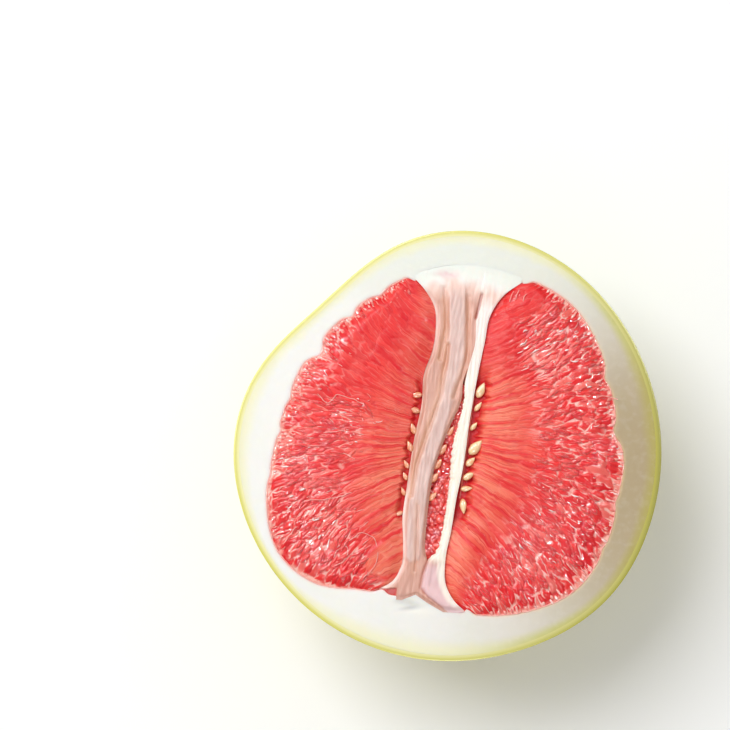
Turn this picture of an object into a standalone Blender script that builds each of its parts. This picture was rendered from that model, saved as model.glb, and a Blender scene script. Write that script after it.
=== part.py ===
"""Half of a ripe pomelo, cut from the stem end to the blossom end, lying cut face up.

Every size is in millimetres and becomes metres where a mesh is made. X runs across the cut face,
Y along the core towards the stem end, and Z up, square to the cut. The origin is on the flat spot
of the round back that the half rests on.
"""
import math
import random

import bmesh
import bpy
import numpy as np

MM = 0.001

# the fruit as cut
RADIUS = 76.2
DEPTH = 75.0
TAPER = 0.09
FLAT_RISE = 0.6
PEEL = 2.0
GAP = 0.45

# swells and hollows of the cut edge: angle in degrees, height, spread in degrees
EDGE_WAVES = [(139.5, -9.8, 21.0), (25.0, -1.9, 28.0), (322.0, 1.7, 15.0)]

# where the white pith ends and the flesh begins: angle in degrees, distance from the centre
CAVITY_EDGE = [
    (0, 61.8), (12, 59.8), (25, 60.2), (40, 63.0), (54, 65.3), (68, 64.6), (80, 62.8), (95, 62.8),
    (110, 60.3), (125, 58.2), (140, 57.6), (158, 58.2), (175, 58.9), (190, 61.6), (205, 67.2),
    (220, 71.0), (233, 68.0), (246, 60.0), (262, 56.6), (280, 59.6), (300, 64.6), (318, 67.9),
    (335, 65.3), (350, 62.3)]
CAVITY_DEPTH = 61.0
WALL_LIMIT = 0.983

# edges of the core on the cut face, from the stem end down
CORE_LEFT = [
    (-18.6, 56.2), (-14.6, 52.6), (-10.6, 47.0), (-9.3, 40.0), (-9.6, 31.0), (-11.4, 23.5),
    (-11.0, 13.0), (-12.2, -1.0), (-12.7, -16.0), (-12.9, -29.0), (-11.6, -38.0), (-11.4, -44.5),
    (-13.8, -50.4), (-18.6, -54.0)]
CORE_RIGHT = [
    (19.0, 59.2), (13.4, 54.0), (9.5, 46.6), (8.4, 36.0), (7.4, 25.0), (6.4, 8.0), (6.0, -8.0),
    (4.9, -20.0), (4.4, -31.0), (3.6, -41.0), (4.8, -49.5), (8.6, -55.0), (12.4, -57.8)]
SLIT_LEFT = [(2.6, 23.0), (0.6, 14.0), (-1.6, 3.0), (-3.8, -11.0), (-4.8, -23.0), (-3.8, -37.0),
             (-2.6, -41.8)]
SLIT_RIGHT = [(2.6, 23.0), (2.4, 13.0), (1.6, 2.0), (1.3, -9.0), (1.5, -22.0), (0.4, -35.0),
              (-2.6, -41.8)]
NARROWEST_SLIT = 0.4

# how far the blossom end of the core strays from a straight cut: share of its width, distance
END_SHAPE = [(0.0, 0.0), (0.2, -1.4), (0.43, 1.6), (0.6, 0.3), (0.76, -1.2), (0.93, 0.0), (1.0, 0.0)]

# the flesh
FLESH_ROWS = 32
ROW_LINES = 3
EVEN_SPREAD = 0.55
LEAD = 0.45
CROWN = 2.2
FULL_CROWN_LENGTH = 30.0
CROWN_STARTS = 0.22
CROWN_ENDS = 0.86
RIM_DROP = 1.0
VALLEY = 0.9
PINCH = 0.9
PINCH_WIDE = 0.035
SEED_TROUGH = 3.0
TROUGH_SLOPE = 4.0
TROUGH_TOP = 27.0
TROUGH_BOTTOM = -34.0
FLESH_STEPS = [0.0, 0.06, 0.13, 0.19, 0.26, 0.34, 0.42, 0.51, 0.60, 0.69, 0.78, 0.87, 0.95, 1.0]
LEFT_ARC = (109.5, 250.5)
RIGHT_ARC = (70.0, -76.5)

# where the pith runs in between the swellings of the flesh: angle in degrees, depth, spread in degrees
NOTCHES = [
    (152.0, 3.2, 2.6), (134.2, 1.7, 1.8), (121.5, 1.2, 1.8), (171.0, 0.9, 1.6), (183.0, 0.9, 1.5),
    (10.4, 1.9, 2.4), (29.0, 1.3, 2.0), (347.0, 0.8, 1.6), (332.0, 0.7, 1.6)]

# the core and what lies under it
CORE_THICK = 7.5
CORE_ROWS = 30
LEFT_FOLDS = [-0.5, 1.0, 0.2, 1.2, 0.3, -0.6]
RIGHT_FOLDS = [0.4, 1.9, 1.4, -0.4]
CORE_END = -0.4
FOLDS_AT_ENDS = 0.3
FOLDS_START = 0.16
FOLDS_END = 0.86
CAP_BULGE = 4.4
CAP_LENGTH = 0.11
END_LENGTH = 0.083
MEETING_LINE = (0.74, -0.10)
MEETING_RISE = (-0.2, 0.9)
MIDDLE_TOP = -9.0
MIDDLE_DENTS = 1.4
MIDDLE_ROWS = 22
MIDDLE_COLS = 7
MIDDLE_SPAN = (0.05, 0.94)

# seeds: place along the core, length and heading in degrees
SEEDS_RIGHT = [(18.4, 5.6, 66), (11.4, 3.6, 40), (5.0, 4.2, 50), (-3.0, 5.4, 50),
               (-8.2, 4.3, 38), (-12.8, 4.4, 32), (-16.4, 4.0, 7), (-20.6, 4.8, -66)]
SEEDS_MIDDLE = [(4.0, 3.4, 80), (-1.8, 3.8, 78), (-7.4, 4.0, 80), (-12.8, 3.6, 82), (-18.6, 3.8, 84)]
SEEDS_LEFT = [(16.2, 3.8, 196), (9.4, 4.0, 126), (2.6, 4.2, 118), (-4.6, 3.7, 130), (-9.8, 3.3, 124),
              (-15.0, 3.4, 122), (-20.2, 3.2, 118), (-25.2, 3.4, 215)]
SEED_WIDE = 0.62
SEED_DEEP = 0.46
SEED_POINT = 0.62
SEED_BLUNT = 1.3
SEED_ROOT = 0.4
SEED_LIFT = 0.12
SEED_TILT = 0.15
SEED_SEGMENTS = 8
SEED_BANDS = 6

# the strip that fed each row: its x at the middle, lean and level, then its radius, sides and ends
STRIP_LINES = {"right": (8.2, 0.035, -1.5), "middle": (-0.3, 0.10, -5.0), "left": (-14.3, 0.05, -1.5)}
STRIP_RADIUS = 0.8
STRIP_SIDES = 6
STRIP_END = 1.0
STRIP_TIP = 0.45

AROUND = 60
RINGS = 9
TINY = 1e-9


def smooth_step(low, high, value):
    """0 below low, 1 above high and a soft rise between them."""
    t = np.clip((np.asarray(value, float) - low) / (high - low), 0.0, 1.0)
    return t * t * (3.0 - 2.0 * t)


def hermite(knots, values, at):
    """Values read at places along a smooth curve through the given ones."""
    slopes = np.gradient(values, knots, axis=0)
    place = np.clip(np.searchsorted(knots, at, side="right") - 1, 0, len(knots) - 2)
    span = knots[place + 1] - knots[place]
    t = (at - knots[place]) / span
    if values.ndim == 2:
        t = t[:, None]
        span = span[:, None]
    start = values[place] * (2 * t ** 3 - 3 * t ** 2 + 1) + slopes[place] * span * (t ** 3 - 2 * t ** 2 + t)
    end = values[place + 1] * (3 * t ** 2 - 2 * t ** 3) + slopes[place + 1] * span * (t ** 3 - t ** 2)
    return start + end


def along(points, fractions):
    """Points at fractions of the length of a smooth curve through a few given ones."""
    values = np.array(points, float)
    steps = np.linalg.norm(np.diff(values, axis=0), axis=1)
    knots = np.concatenate(([0.0], np.cumsum(steps)))
    return hermite(knots, values, np.asarray(fractions, float) * knots[-1])


def cut_edge(angle, share=1.0):
    """Distance from the centre to the outside of the peel; its waves fade round the back."""
    waves = 0.0
    for centre, height, spread in EDGE_WAVES:
        away = (angle - centre + 180.0) % 360.0 - 180.0
        waves += height * math.exp(-0.5 * (away / spread) ** 2)
    return RADIUS + waves * share * share


def cavity_edge(angle, share=1.0):
    """Distance from the centre to where the pith ends and the flesh begins, alike at any depth."""
    table = np.array(CAVITY_EDGE, float)
    knots = np.concatenate((table[-3:, 0] - 360.0, table[:, 0], table[:3, 0] + 360.0))
    values = np.concatenate((table[-3:, 1], table[:, 1], table[:3, 1]))
    return float(hermite(knots, values, np.array([angle % 360.0]))[0])


def sunk(share, angle, depth):
    """How far a bowl lies below the cut at a share of its radius: shallower at the stem end."""
    taper = 1.0 - TAPER * share * math.sin(math.radians(angle))
    return -depth * math.sqrt(max(0.0, 1.0 - share * share)) * taper


def notch(angle):
    """How deep the pith runs into the flesh at an angle of its outline."""
    depth = 0.0
    for centre, height, spread in NOTCHES:
        away = (angle - centre + 180.0) % 360.0 - 180.0
        depth += height * math.exp(-0.5 * (away / spread) ** 2)
    return depth


def polar(x, y):
    """A point's angle in degrees and its distance from the centre."""
    return math.degrees(math.atan2(y, x)), math.hypot(x, y)


def cavity_floor(x, y):
    """The point of the cavity's wall, a gap clear of it, under a point of the cut face."""
    angle, reach = polar(x, y)
    edge = cavity_edge(angle) - GAP
    share = min(reach / edge, WALL_LIMIT)
    scale = share * edge / max(reach, TINY)
    return x * scale, y * scale, sunk(share, angle, CAVITY_DEPTH - GAP)


# the cut edge's own middle, which the origin lies under
ALL_ROUND = [(cut_edge(a) * math.cos(math.radians(a)), cut_edge(a) * math.sin(math.radians(a)))
             for a in range(360)]
CENTRE_X = (max(p[0] for p in ALL_ROUND) + min(p[0] for p in ALL_ROUND)) / 2
CENTRE_Y = (max(p[1] for p in ALL_ROUND) + min(p[1] for p in ALL_ROUND)) / 2
FACE = DEPTH - FLAT_RISE


def material(name, colour, roughness):
    """A plain finish with the colour and the gloss of the real surface."""
    finish = bpy.data.materials.new(name)
    finish.use_nodes = True
    shader = finish.node_tree.nodes["Principled BSDF"]
    shader.inputs["Base Color"].default_value = (*colour, 1.0)
    shader.inputs["Roughness"].default_value = roughness
    shader.inputs["Metallic"].default_value = 0.0
    return finish


def solid(name, points, faces, finish, sharp_angle=50.0):
    """One closed body from points in millimetres, measured from the middle of the cut face."""
    mesh = bpy.data.meshes.new(name)
    mesh.from_pydata([((x - CENTRE_X) * MM, (y - CENTRE_Y) * MM, (z + FACE) * MM) for x, y, z in points],
                     [], faces)
    body = bmesh.new()
    body.from_mesh(mesh)
    bmesh.ops.recalc_face_normals(body, faces=body.faces)
    body.to_mesh(mesh)
    body.free()
    mesh.materials.append(finish)
    mesh.shade_smooth()
    mesh.set_sharp_from_angle(angle=math.radians(sharp_angle))
    piece = bpy.data.objects.new(name, mesh)
    bpy.context.scene.collection.objects.link(piece)
    return piece


def bowl(edge, depth, lowest=None):
    """Rings of points down a bowl, from the rim to its lowest point."""
    first = math.acos(1.0 - FLAT_RISE / DEPTH)
    rings = []
    for ring in range(RINGS + 1):
        lean = math.pi / 2 + (first - math.pi / 2) * ring / RINGS
        share = math.sin(lean)
        points = []
        for step in range(AROUND):
            angle = 360.0 * step / AROUND
            reach = share * edge(angle, share)
            z = sunk(share, angle, depth)
            if lowest is not None:
                z = max(z, lowest)
                if ring == RINGS:
                    z = lowest
            points.append((reach * math.cos(math.radians(angle)), reach * math.sin(math.radians(angle)), z))
        rings.append(points)
    pole = (0.0, 0.0, -depth if lowest is None else lowest)
    return rings, pole


def shell(name, outer, inner, finish):
    """A cut shell between two bowls, joined by its flat cut edge."""
    points = []
    faces = []
    starts = []
    for rings, pole in (outer, inner):
        start = len(points)
        starts.append(start)
        for ring in rings:
            points.extend(ring)
        points.append(pole)
        tip = len(points) - 1
        for ring in range(RINGS):
            for step in range(AROUND):
                after = (step + 1) % AROUND
                low = start + ring * AROUND
                high = low + AROUND
                faces.append((low + step, low + after, high + after, high + step))
        last = start + RINGS * AROUND
        for step in range(AROUND):
            faces.append((last + step, last + (step + 1) % AROUND, tip))
    for step in range(AROUND):
        after = (step + 1) % AROUND
        faces.append((starts[0] + step, starts[0] + after, starts[1] + after, starts[1] + step))
    return solid(name, points, faces, finish)


def flesh(name, core_edge, side, arc, seed_room, seed, finish):
    """One side's flesh: rows of juice sacs that fan from the core out to the pith."""
    rng = random.Random(seed)
    lines = FLESH_ROWS * ROW_LINES
    steps = len(FLESH_STEPS)
    spread = np.linspace(-1.0, 1.0, lines + 1)
    anchors = along(core_edge, 0.5 + 0.5 * (EVEN_SPREAD * spread + (1.0 - EVEN_SPREAD) * spread ** 3))
    ends = [(rng.uniform(0.30, 0.50), rng.uniform(0.62, 0.82)) for _ in range(FLESH_ROWS)]
    swell = [rng.uniform(-0.3, 0.5) for _ in range(FLESH_ROWS)]
    top = []
    under = []
    for line in range(lines + 1):
        angle = arc[0] + (arc[1] - arc[0]) * line / lines
        reach = cavity_edge(angle) - GAP - notch(angle)
        outer = (reach * math.cos(math.radians(angle)), reach * math.sin(math.radians(angle)))
        inner = (anchors[line][0] + side * GAP, anchors[line][1])
        length = math.dist(inner, outer)
        bend = (inner[0] + side * LEAD * length, inner[1])
        sack = min(line // ROW_LINES, FLESH_ROWS - 1)
        valley = line % ROW_LINES == 0
        trough = (smooth_step(TROUGH_BOTTOM, TROUGH_BOTTOM + TROUGH_SLOPE, inner[1])
                  * smooth_step(-TROUGH_TOP, TROUGH_SLOPE - TROUGH_TOP, -inner[1]))
        fade = min(1.0, length / FULL_CROWN_LENGTH)
        for share in FLESH_STEPS:
            x = (1 - share) ** 2 * inner[0] + 2 * share * (1 - share) * bend[0] + share ** 2 * outer[0]
            y = (1 - share) ** 2 * inner[1] + 2 * share * (1 - share) * bend[1] + share ** 2 * outer[1]
            plateau = smooth_step(0.0, CROWN_STARTS, share) * (1.0 - smooth_step(CROWN_ENDS, 1.0, share))
            z = -RIM_DROP + (CROWN + RIM_DROP) * plateau * fade
            if 0.0 < share < 1.0:
                z += -VALLEY * fade if valley else swell[sack]
                pinch = min(abs(share - end) for end in ends[sack])
                z -= PINCH * math.exp(-(pinch / PINCH_WIDE) ** 2)
            hollow = trough * (1.0 - smooth_step(seed_room, seed_room + 0.10, share))
            z = z * (1.0 - hollow) - SEED_TROUGH * hollow
            top.append((x, y, z))
            if valley:
                under.append(cavity_floor(x, y))
    points = top + under
    base = len(top)
    faces = []
    for line in range(lines):
        for step in range(steps - 1):
            a = line * steps + step
            faces.append((a, a + 1, a + steps + 1, a + steps))
    for row in range(FLESH_ROWS):
        for step in range(steps - 1):
            a = base + row * steps + step
            faces.append((a, a + steps, a + steps + 1, a + 1))
        for step in (0, steps - 1):
            upper = [(row * ROW_LINES + k) * steps + step for k in range(ROW_LINES + 1)]
            lower = [base + row * steps + step, base + (row + 1) * steps + step]
            faces.append((upper[0], upper[1], lower[0]))
            faces.append((upper[1], upper[2], lower[1], lower[0]))
            faces.append((upper[2], upper[3], lower[1]))
    for line, row in ((0, 0), (lines, FLESH_ROWS)):
        for step in range(steps - 1):
            a = line * steps + step
            b = base + row * steps + step
            faces.append((a, a + 1, b + 1, b))
    return solid(name, points, faces, finish, sharp_angle=70.0)


def core_row(share):
    """Left edge, slit and right edge of the core at a share of its length."""
    left = along(CORE_LEFT, [share])[0]
    right = along(CORE_RIGHT, [share])[0]
    middle = (left[1] + right[1]) / 2
    slit = None
    if SLIT_LEFT[-1][1] < middle < SLIT_LEFT[0][1]:
        slit = [float(np.interp(-middle, [-p[1] for p in side], [p[0] for p in side]))
                for side in (SLIT_LEFT, SLIT_RIGHT)]
        if slit[1] - slit[0] < NARROWEST_SLIT:
            slit = None
    return left, right, slit


def core(finish):
    """The core: a cap at each end, a folded membrane and a firmer strip, with the slit between."""
    left_cols = len(LEFT_FOLDS)
    right_cols = len(RIGHT_FOLDS)
    points = []
    faces = []
    index = {}
    open_rows = []

    def place(key, x, y, z):
        index[key] = len(points)
        points.append((x, y, z))

    for row in range(CORE_ROWS + 1):
        share = row / CORE_ROWS
        left, right, slit = core_row(share)
        open_rows.append(slit is not None)
        at_cap = max(0.0, 1.0 - share / CAP_LENGTH)
        at_end = max(0.0, 1.0 - (1.0 - share) / END_LENGTH)
        split = MEETING_LINE[0] + MEETING_LINE[1] * share
        for layer in (0, 1):
            for col in range(left_cols + right_cols):
                on_left = col < left_cols
                if on_left:
                    part = col / (left_cols - 1)
                    height = LEFT_FOLDS[col]
                else:
                    part = (col - left_cols) / (right_cols - 1)
                    height = RIGHT_FOLDS[col - left_cols]
                if slit is None:
                    across = part * split if on_left else split + (1.0 - split) * part
                else:
                    gap_from = (slit[0] - left[0]) / (right[0] - left[0])
                    gap_to = (slit[1] - left[0]) / (right[0] - left[0])
                    across = part * gap_from if on_left else gap_to + (1.0 - gap_to) * part
                if slit is None and not on_left and col == left_cols:
                    index[(row, layer, col)] = index[(row, layer, col - 1)]
                    continue
                x = left[0] + (right[0] - left[0]) * across
                y = left[1] + (right[1] - left[1]) * across
                arch = 4.0 * across * (1.0 - across)
                stray = float(np.interp(across, [p[0] for p in END_SHAPE], [p[1] for p in END_SHAPE]))
                y += CAP_BULGE * arch * at_cap + stray * at_end
                ends = smooth_step(0.0, FOLDS_START, share) * (1.0 - smooth_step(FOLDS_END, 1.0, share))
                fold = FOLDS_AT_ENDS + (1.0 - FOLDS_AT_ENDS) * float(ends)
                z = height * fold if 0 < share < 1 else CORE_END
                if slit is None and col == left_cols - 1:
                    z = MEETING_RISE[0] + MEETING_RISE[1] * float(ends)
                angle, reach = polar(x, y)
                edge = cavity_edge(angle) - GAP
                limit = edge if layer == 0 else edge * WALL_LIMIT
                if reach > limit:
                    x *= limit / reach
                    y *= limit / reach
                place((row, layer, col), x, y, z if layer == 0 else -CORE_THICK)
    cols = left_cols + right_cols
    for row in range(CORE_ROWS):
        for layer in (0, 1):
            for col in range(cols - 1):
                if col == left_cols - 1:
                    continue
                faces.append([index[(row, layer, col)], index[(row, layer, col + 1)],
                              index[(row + 1, layer, col + 1)], index[(row + 1, layer, col)]])
        walls = [0, cols - 1]
        if open_rows[row] or open_rows[row + 1]:
            walls += [left_cols - 1, left_cols]
        for col in walls:
            faces.append([index[(row, 0, col)], index[(row + 1, 0, col)],
                          index[(row + 1, 1, col)], index[(row, 1, col)]])
    for row in (0, CORE_ROWS):
        for col in range(cols - 1):
            if col == left_cols - 1:
                continue
            faces.append([index[(row, 0, col)], index[(row, 0, col + 1)],
                          index[(row, 1, col + 1)], index[(row, 1, col)]])
    return solid("core", points, faces, finish)


def middle_flesh(finish):
    """The deeper flesh under the core, which the slit looks down on."""
    rng = random.Random(5)
    cols = MIDDLE_COLS
    first, last = MIDDLE_SPAN
    points = []
    faces = []
    for layer in (0, 1):
        for row in range(MIDDLE_ROWS + 1):
            left, right, _ = core_row(first + (last - first) * row / MIDDLE_ROWS)
            for col in range(cols):
                across = col / (cols - 1)
                x = left[0] + (right[0] - left[0]) * across
                y = left[1] + (right[1] - left[1]) * across
                if layer == 0:
                    rim = col in (0, cols - 1) or row in (0, MIDDLE_ROWS)
                    points.append((x, y, MIDDLE_TOP - (0.0 if rim else rng.uniform(0.0, MIDDLE_DENTS))))
                else:
                    points.append(cavity_floor(x, y))
    layer_size = (MIDDLE_ROWS + 1) * cols
    for layer in (0, 1):
        for row in range(MIDDLE_ROWS):
            for col in range(cols - 1):
                a = layer * layer_size + row * cols + col
                faces.append((a, a + 1, a + cols + 1, a + cols))
    for row in range(MIDDLE_ROWS):
        for col in (0, cols - 1):
            a = row * cols + col
            faces.append((a, a + cols, a + cols + layer_size, a + layer_size))
    for row in (0, MIDDLE_ROWS):
        for col in range(cols - 1):
            a = row * cols + col
            faces.append((a, a + 1, a + 1 + layer_size, a + layer_size))
    return solid("pulp_middle", points, faces, finish, sharp_angle=70.0)


def seed_row(name, seeds, strip_line, finish):
    """A row of flat pointed seeds, each sunk by its blunt end in the strip that fed it."""
    strip_start, strip_lean, strip_z = strip_line
    rows = bpy.data.collections.new(name + "_pieces")
    bpy.context.scene.collection.children.link(rows)
    ys = [seed[0] for seed in seeds]
    knots = len(seeds) * 2
    strip_points = []
    strip_faces = []
    sides = STRIP_SIDES
    for knot in range(knots + 1):
        share = knot / knots
        y = ys[0] + STRIP_END + (ys[-1] - ys[0] - 2.0 * STRIP_END) * share
        x = strip_start + strip_lean * y
        radius = STRIP_RADIUS * (STRIP_TIP if knot in (0, knots) else 1.0)
        for side in range(sides):
            turn = 2 * math.pi * side / sides
            strip_points.append((x + radius * math.cos(turn), y, strip_z + radius * math.sin(turn)))
    for knot in range(knots):
        for side in range(sides):
            a = knot * sides + side
            b = knot * sides + (side + 1) % sides
            strip_faces.append((a, b, b + sides, a + sides))
    strip_faces.append(tuple(range(sides)))
    strip_faces.append(tuple(range(knots * sides, (knots + 1) * sides)))
    strip = solid(name, strip_points, strip_faces, finish)
    rng = random.Random(len(seeds) + ord(name[-1]))
    for y, length, heading in seeds:
        turn = math.radians(heading)
        root = (strip_start + strip_lean * y, y, strip_z)
        form = bmesh.new()
        bmesh.ops.create_uvsphere(form, u_segments=SEED_SEGMENTS, v_segments=SEED_BANDS, radius=1.0)
        tilt = SEED_LIFT + rng.uniform(-SEED_TILT, SEED_TILT)
        points = []
        for vert in form.verts:
            way = vert.co.z
            swell = -way
            if swell > 0.0:
                swell = math.sin(min(1.0, swell * SEED_BLUNT) * math.pi / 2)
            taper = SEED_POINT + (1.0 - SEED_POINT) * swell
            forward = (way + 1.0) / 2.0 * (length + 2.0 * SEED_ROOT) - SEED_ROOT
            across = vert.co.x * taper * length * SEED_WIDE / 2
            lift = vert.co.y * taper * length * SEED_DEEP / 2 + forward * tilt
            points.append((root[0] + forward * math.cos(turn) - across * math.sin(turn),
                           root[1] + forward * math.sin(turn) + across * math.cos(turn),
                           root[2] + lift))
        faces = [tuple(v.index for v in face.verts) for face in form.faces]
        form.free()
        seed = solid(name + "_seed", points, faces, finish)
        bpy.context.scene.collection.objects.unlink(seed)
        rows.objects.link(seed)
    union = strip.modifiers.new("seeds", "BOOLEAN")
    union.operation = "UNION"
    union.operand_type = "COLLECTION"
    union.collection = rows
    union.solver = "EXACT"
    bpy.context.view_layer.update()
    joined = bpy.data.meshes.new_from_object(strip.evaluated_get(bpy.context.evaluated_depsgraph_get()))
    strip.modifiers.clear()
    strip.data = joined
    joined.shade_smooth()
    joined.set_sharp_from_angle(angle=math.radians(60.0))
    for piece in list(rows.objects):
        bpy.data.objects.remove(piece)
    bpy.data.collections.remove(rows)
    return strip


def main():
    """Build every piece of the half."""
    for old in list(bpy.data.objects):
        bpy.data.objects.remove(old)
    peel_finish = material("peel_yellow", (0.68, 0.63, 0.09), 0.42)
    pith_finish = material("pith_white", (0.87, 0.85, 0.74), 0.78)
    flesh_finish = material("flesh_red", (0.80, 0.12, 0.10), 0.25)
    deep_finish = material("flesh_deep", (0.58, 0.04, 0.05), 0.25)
    core_finish = material("core_cream", (0.87, 0.72, 0.60), 0.55)
    seed_finish = material("seed_cream", (0.90, 0.72, 0.40), 0.45)

    peel_outer = bowl(cut_edge, DEPTH, lowest=-FACE)
    peel_inner = bowl(lambda a, s: cut_edge(a, s) - PEEL, DEPTH - PEEL)
    shell("peel", peel_outer, peel_inner, peel_finish)
    skin = PEEL + GAP
    pith_outer = bowl(lambda a, s: cut_edge(a, s) - skin, DEPTH - skin)
    shell("pith", pith_outer, bowl(cavity_edge, CAVITY_DEPTH), pith_finish)
    flesh("pulp_left", CORE_LEFT, -1, LEFT_ARC, 0.10, 11, flesh_finish)
    flesh("pulp_right", CORE_RIGHT, 1, RIGHT_ARC, 0.13, 23, flesh_finish)
    core(core_finish)
    middle_flesh(deep_finish)
    for word, seeds in (("right", SEEDS_RIGHT), ("middle", SEEDS_MIDDLE), ("left", SEEDS_LEFT)):
        seed_row("seed_row_" + word, seeds, STRIP_LINES[word], seed_finish)


main()
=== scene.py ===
import math
import random

import bpy
import numpy as np
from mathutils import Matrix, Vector, noise


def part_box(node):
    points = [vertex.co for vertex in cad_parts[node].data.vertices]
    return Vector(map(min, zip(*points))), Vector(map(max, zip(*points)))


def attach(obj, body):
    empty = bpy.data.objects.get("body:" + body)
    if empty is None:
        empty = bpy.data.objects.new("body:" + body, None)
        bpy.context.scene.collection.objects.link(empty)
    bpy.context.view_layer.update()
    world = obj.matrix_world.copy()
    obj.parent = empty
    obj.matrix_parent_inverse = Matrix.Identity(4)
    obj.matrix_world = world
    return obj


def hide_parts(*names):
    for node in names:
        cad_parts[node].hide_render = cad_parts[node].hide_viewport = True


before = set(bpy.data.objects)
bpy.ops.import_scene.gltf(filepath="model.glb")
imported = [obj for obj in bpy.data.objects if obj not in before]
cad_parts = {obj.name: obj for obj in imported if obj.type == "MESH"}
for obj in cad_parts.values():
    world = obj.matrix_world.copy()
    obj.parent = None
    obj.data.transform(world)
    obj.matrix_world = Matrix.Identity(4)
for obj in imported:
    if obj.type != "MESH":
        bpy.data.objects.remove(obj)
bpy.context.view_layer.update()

# THE PEEL
# The outer skin of the fruit, waxy and yellow-green, about 2 mm thick, with an oil gland in each
# fine pit. It grew on the pith, and the knife left its flat edge as a thin bright line.

MM = 0.001
RADIUS = 76.2
DEPTH = 75.0
TAPER = 0.09
FLAT_RISE = 0.6
PEEL = 2.0
GAP = 0.3
EDGE_WAVES = [(139.5, -9.8, 21.0), (25.0, -1.9, 28.0), (322.0, 1.7, 15.0)]
ALL_ROUND = 560
SKIN_RINGS = 132
PIT_SPACING = 0.0021
FLAT_FADE = 0.25
CUT_FADE = 0.02


def cut_edge(angle, share=1.0):
    """Distance from the centre to the outside of the peel, at angles in degrees."""
    waves = 0.0
    for centre, height, spread in EDGE_WAVES:
        away = (angle - centre + 180.0) % 360.0 - 180.0
        waves = waves + height * np.exp(-0.5 * (away / spread) ** 2)
    return RADIUS + waves * share * share


def sunk(share, angle, depth):
    """How far a bowl lies below the cut at a share of its radius: shallower at the stem end."""
    taper = 1.0 - TAPER * share * np.sin(np.radians(angle))
    return -depth * np.sqrt(np.clip(1.0 - share * share, 0.0, 1.0)) * taper


ROUND = np.arange(0.0, 360.0, 1.0)
ROUND_X = cut_edge(ROUND) * np.cos(np.radians(ROUND))
ROUND_Y = cut_edge(ROUND) * np.sin(np.radians(ROUND))
CENTRE_X = (ROUND_X.max() + ROUND_X.min()) / 2
CENTRE_Y = (ROUND_Y.max() + ROUND_Y.min()) / 2
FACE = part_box("peel")[1].z / MM
ANGLES = np.arange(ALL_ROUND) * 360.0 / ALL_ROUND


def in_row(points):
    """Points in millimetres from the middle of the cut face, as metres in the row's frame."""
    return (np.asarray(points, float) + np.array([-CENTRE_X, -CENTRE_Y, FACE])) * MM


def turned_to(reach, angle):
    """Places at a distance from the centre and an angle in degrees."""
    return np.stack([reach * np.cos(np.radians(angle)), reach * np.sin(np.radians(angle))], axis=1)


def ring(reach, height):
    """One ring of points round the centre."""
    return np.column_stack([turned_to(reach, ANGLES), height + 0.0 * ANGLES])


def right_side_shade(angle):
    """Painted shade: 1 at the right of the cut, where the colours are darkened as shade, falling to 0 at the
    left.
    """
    away = (angle + 180.0) % 360.0 - 180.0
    return np.exp(-(away / np.where(away > 0.0, 55.0, 70.0)) ** 2)


def placed(name, data):
    """A new object in the scene."""
    made = bpy.data.objects.new(name, data)
    bpy.context.scene.collection.objects.link(made)
    return made


def piece_from(name, points, faces, floats=None, edges=()):
    """A smooth piece in the row's frame from points in millimetres, with its stored numbers."""
    mesh = bpy.data.meshes.new(name)
    mesh.from_pydata(in_row(points).tolist(), edges, faces)
    for key, values in (floats or {}).items():
        layer = mesh.attributes.new(key, "FLOAT", "POINT")
        layer.data.foreach_set("value", np.asarray(values, np.float32).ravel())
    mesh.shade_smooth()
    return placed(name, mesh)


def crisp(piece, runs):
    """Marks the edges along runs of points as sharp, so that no light is smoothed round them."""
    pairs = {frozenset(pair) for run in runs for pair in zip(run[:-1].tolist(), run[1:].tolist())}
    layer = piece.data.attributes.new("sharp_edge", "BOOLEAN", "EDGE")
    layer.data.foreach_set("value", [frozenset(edge.vertices) in pairs for edge in piece.data.edges])


def bowl(name, keys, rows):
    """A closed bowl from rings and their numbers, from the middle of its inside to that of its outside."""
    columns = list(zip(*rows))
    floats = {"shade": np.tile(right_side_shade(ANGLES), len(rows))}
    for key, column in zip(keys, columns[1:]):
        floats[key] = np.concatenate([value + 0.0 * ANGLES for value in column])
    steps = np.arange(ALL_ROUND)
    after = (steps + 1) % ALL_ROUND
    faces = [steps[::-1].tolist(), ((len(rows) - 1) * ALL_ROUND + steps).tolist()]
    for low in range(len(rows) - 1):
        a = low * ALL_ROUND
        b = a + ALL_ROUND
        faces.extend(np.stack([a + steps, a + after, b + after, b + steps], axis=1).tolist())
    return piece_from(name, np.concatenate(columns[0]), faces, floats)


def node(tree, kind, inputs=None, **settings):
    """A node of a tree, with its settings made and its sockets set or linked."""
    made = tree.nodes.new(kind)
    for key, value in settings.items():
        setattr(made, key, value)
    for key, value in (inputs or {}).items():
        if isinstance(value, bpy.types.NodeSocket):
            tree.links.new(value, made.inputs[key])
        else:
            made.inputs[key].default_value = value
    return made


def maths(tree, operation, first, second):
    """The outcome of one Math node."""
    return node(tree, "ShaderNodeMath", {0: first, 1: second}, operation=operation).outputs[0]


def times(tree, first, second):
    """The product of two values."""
    return maths(tree, "MULTIPLY", first, second)


def plus(tree, first, second):
    """The sum of two values."""
    return maths(tree, "ADD", first, second)


def minus(tree, first, second):
    """The difference of two values."""
    return maths(tree, "SUBTRACT", first, second)


def stretched(tree, vector, factors):
    """A vector with each of its numbers multiplied."""
    return node(tree, "ShaderNodeVectorMath", {0: vector, 1: factors}, operation="MULTIPLY").outputs[0]


def axis(tree, vector, letter):
    """One number of a vector."""
    return node(tree, "ShaderNodeSeparateXYZ", {0: vector}).outputs[letter]


def cloudy(tree, where, scale, detail):
    """Smooth noise at a place, from 0 to 1."""
    return node(tree, "ShaderNodeTexNoise", {"Vector": where, "Scale": scale, "Detail": detail}).outputs[0]


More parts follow.
